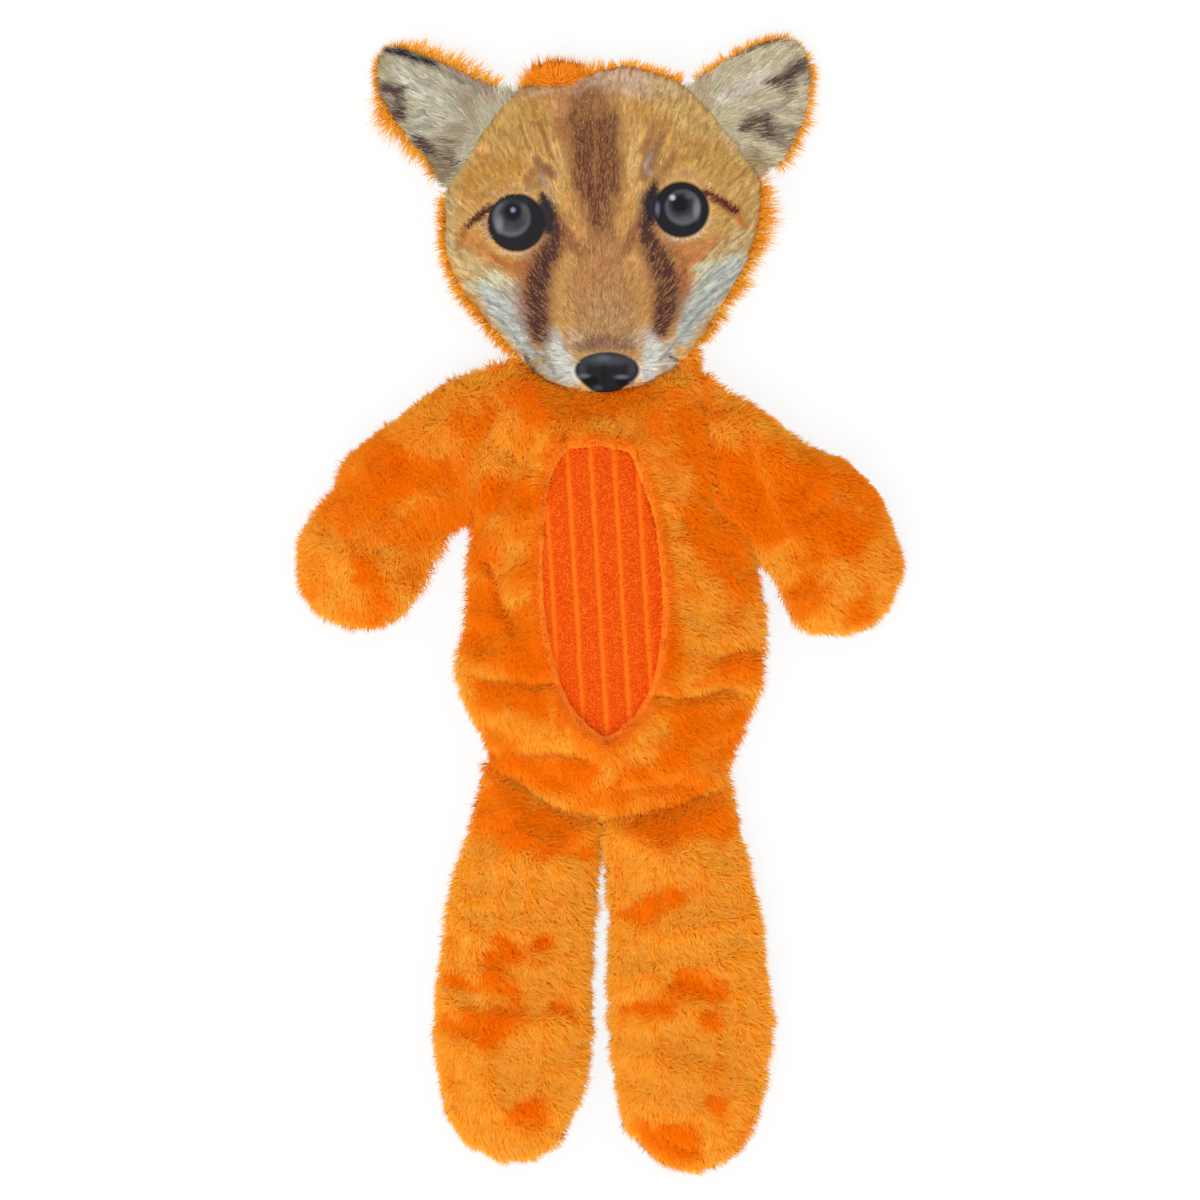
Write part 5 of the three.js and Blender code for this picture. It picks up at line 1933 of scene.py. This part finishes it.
film = pillow("body_film", FILM_LINE, FILM_STEP, film_side(FILM_THICK), film_side(0),
              film_side(FILM_THICK / 2))
film.data.materials.append(two_tone("crisp film", 60, "cfd2d8", "e6e9ee", 0.18, 0.2))
film_area = sum(p.area for p in film.data.polygons) / 2
print("film area", round(film_area * 1e4, 1), "square cm")

# %% Squeakers, kept from the CAD model
VINYL = {"bulb": two_tone("blown vinyl", 240, "e2dccb", "f2eee2", 0.35, 0.15),
         "reed": two_tone("reed", 240, "eeeeec", "fafaf8", 0.35, 0.15)}
for body in ("body", "head"):
    for kind, finish in VINYL.items():
        data = frame["nodes"][f"{body}_squeaker_{kind}"].data
        data.materials.clear()
        data.materials.append(finish)

# %% [markdown]
# Every piece now rides on its body, and says which CAD solids it stands for.

# %% Ride, blend and replace
LEG_HINGES = {"left": (-30, -76.2), "right": (34, -80.1)}  # the hinges' middles in millimetres
NECK_BEND = (79, 104)


def attach(piece, *bodies, bend=(), replaces=(), slot="plush", fill=None):
    """Everything that the frame is told about a piece."""
    if len(bodies) == 2:
        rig.blend(piece, *bodies, start=bend[0], end=bend[1])
    else:
        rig.ride(piece, bodies[0])
    if replaces:
        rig.replaces(piece, *replaces)
    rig.slot(piece, slot)
    if fill is not None:
        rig.padded(piece, fill=fill)


attach(skins["torso"], "torso", replaces=("body_front", "body_back"), fill=0.5)
attach(skins["torso_pile"], "torso")
attach(skins["torso_back_pile"], "torso")
for side in SIDES:
    high, down, out, length = across(side)
    middle = high + down * length / 2
    arm_bend = [(*(middle + out * way), SEAM_LEVEL) for way in (-BEND, BEND)]
    x, y = (value * MM for value in LEG_HINGES[side])
    leg_bend = [(x, y + way, SEAM_LEVEL) for way in (BEND, -BEND)]
    for limb, bend in ((f"arm_{side}", arm_bend), (f"leg_{side}", leg_bend)):
        attach(skins[limb], "torso", limb, bend=bend,
               replaces=(f"{limb}_front", f"{limb}_back"), fill=0.5)
        attach(skins[f"{limb}_pile"], "torso", limb, bend=bend)
    ear = f"ear_{side}"
    attach(skins[f"{ear}_cloth"], ear, replaces=(f"{ear}_front",), slot="face_print", fill=0.2)
    attach(skins[f"{ear}_plush"], ear, replaces=(f"{ear}_back",), fill=0.2)
    attach(skins[f"{ear}_pile"], ear)
neck_bend = [(0, y * MM, SEAM_LEVEL) for y in NECK_BEND]
attach(skins["neck"], "torso", "head", bend=neck_bend, fill=0.4)
attach(skins["neck_pile"], "torso", "head", bend=neck_bend)
attach(skins["face"], "head", replaces=("face_panel",), slot="face_print", fill=0.7)
attach(skins["head"], "head", replaces=("head_back",), fill=0.7)
attach(skins["head_pile"], "head")
attach(skins["head_tuft"], "head", fill=0.3)
attach(skins["head_tuft_pile"], "head")
attach(skins["face_hair"], "head", slot="face_print")
for side in SIDES:
    attach(skins[f"ear_{side}_hair"], f"ear_{side}", slot="face_print")
attach(skins["belly"], "torso", replaces=("belly_panel",), slot="corduroy")
for name, node in WADS.items():
    attach(skins[name], name.removesuffix("_wad"), replaces=(node,), slot="wadding")
attach(film, "torso", replaces=("body_crinkle_film",), slot="crinkle_film")
attach(skins["belly_loops"], "torso", slot="corduroy")


def flat_size(line):
    """The width, length and area of what is inside an outline."""
    xs, ys = [p.x for p in line], [p.y for p in line]
    area = abs(sum(a.cross(b) for a, b in zip(line, line[1:] + line[:1], strict=True))) / 2
    return (max(xs) - min(xs), max(ys) - min(ys)), area


for sheet, line, held, pieces in (
        (film, FILM_LINE, "laid", []),
        (skins["belly"], BELLY_LINE, "stretched", [skins["belly_loops"]])):
    flat, area = flat_size(line)
    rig.sheet(sheet, flat=flat, held=held, area=area, rests_on=[skins["torso"]],
             with_pieces=pieces)
    print(sheet.name, "flat", [round(x * 1000, 1) for x in flat], "mm, area", round(area * 1e4, 1))
bpy.data.objects.remove(STRAND)
bpy.data.objects.remove(LOOP)

# %% [markdown]
# The floor is plain and white. To the camera it glows a little, so that it shows as pure white
# except in the toy's own soft shadow. The light is a pale sky and one broad, soft lamp.

# %% Floor and light
FLOOR_HALF, FLOOR_GREY, FLOOR_GLOW = 30, 0.94, 0.86
SKY, SUN, SUN_SPREAD, SUN_LEAN = 0.87, 1.28, 40, (34, -18)


def floor_material():
    made, board, shader = material("floor")
    dress(board, shader, {"Base Color": (FLOOR_GREY,) * 3, "Roughness": 0.9,
                          "Specular IOR Level": 0.0})
    seen = board.add("ShaderNodeLightPath", {}, {}, "Is Camera Ray")
    white = board.add("ShaderNodeEmission", {}, {"Color": (1, 1, 1, 1), "Strength": 1})
    blend = board.add("ShaderNodeMixShader", {}, {
        0: seen * FLOOR_GLOW, 1: Wire(board, shader.outputs[0]), 2: white})
    board.fill(made.node_tree.nodes["Material Output"].inputs[0], blend)
    return made


floor_mesh = bpy.data.meshes.new("floor")
CORNERS = (-1, -1), (1, -1), (1, 1), (-1, 1)
floor_mesh.from_pydata([(x * FLOOR_HALF, y * FLOOR_HALF, 0) for x, y in CORNERS], [],
                       [(0, 1, 2, 3)])
floor_mesh.materials.append(floor_material())
floor = placed("floor", floor_mesh)
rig.stage(floor)

scene.world = bpy.data.worlds.new("studio")
scene.world.use_nodes = True
sky = Board(scene.world.node_tree)
background = sky.tree.nodes["Background"]
sight = sky.add("ShaderNodeLightPath", {}, {}, "Is Camera Ray")
sky.fill(background.inputs["Color"], (1, 1, 1, 1))
sky.fill(background.inputs["Strength"], SKY + sight * (1 - SKY))

sun = placed("lamp", bpy.data.lights.new("lamp", "SUN"))
sun.data.energy, sun.data.angle = SUN, math.radians(SUN_SPREAD)
sun.rotation_euler = (*(math.radians(lean) for lean in SUN_LEAN), 0)
scene.view_settings.view_transform = "Standard"

# %% Sizes and the end
with open("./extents.json", "w") as sizes:
    json.dump({"cad": [list(c) for c in cad_box], "visual": [list(c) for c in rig.bounds()]}, sizes)
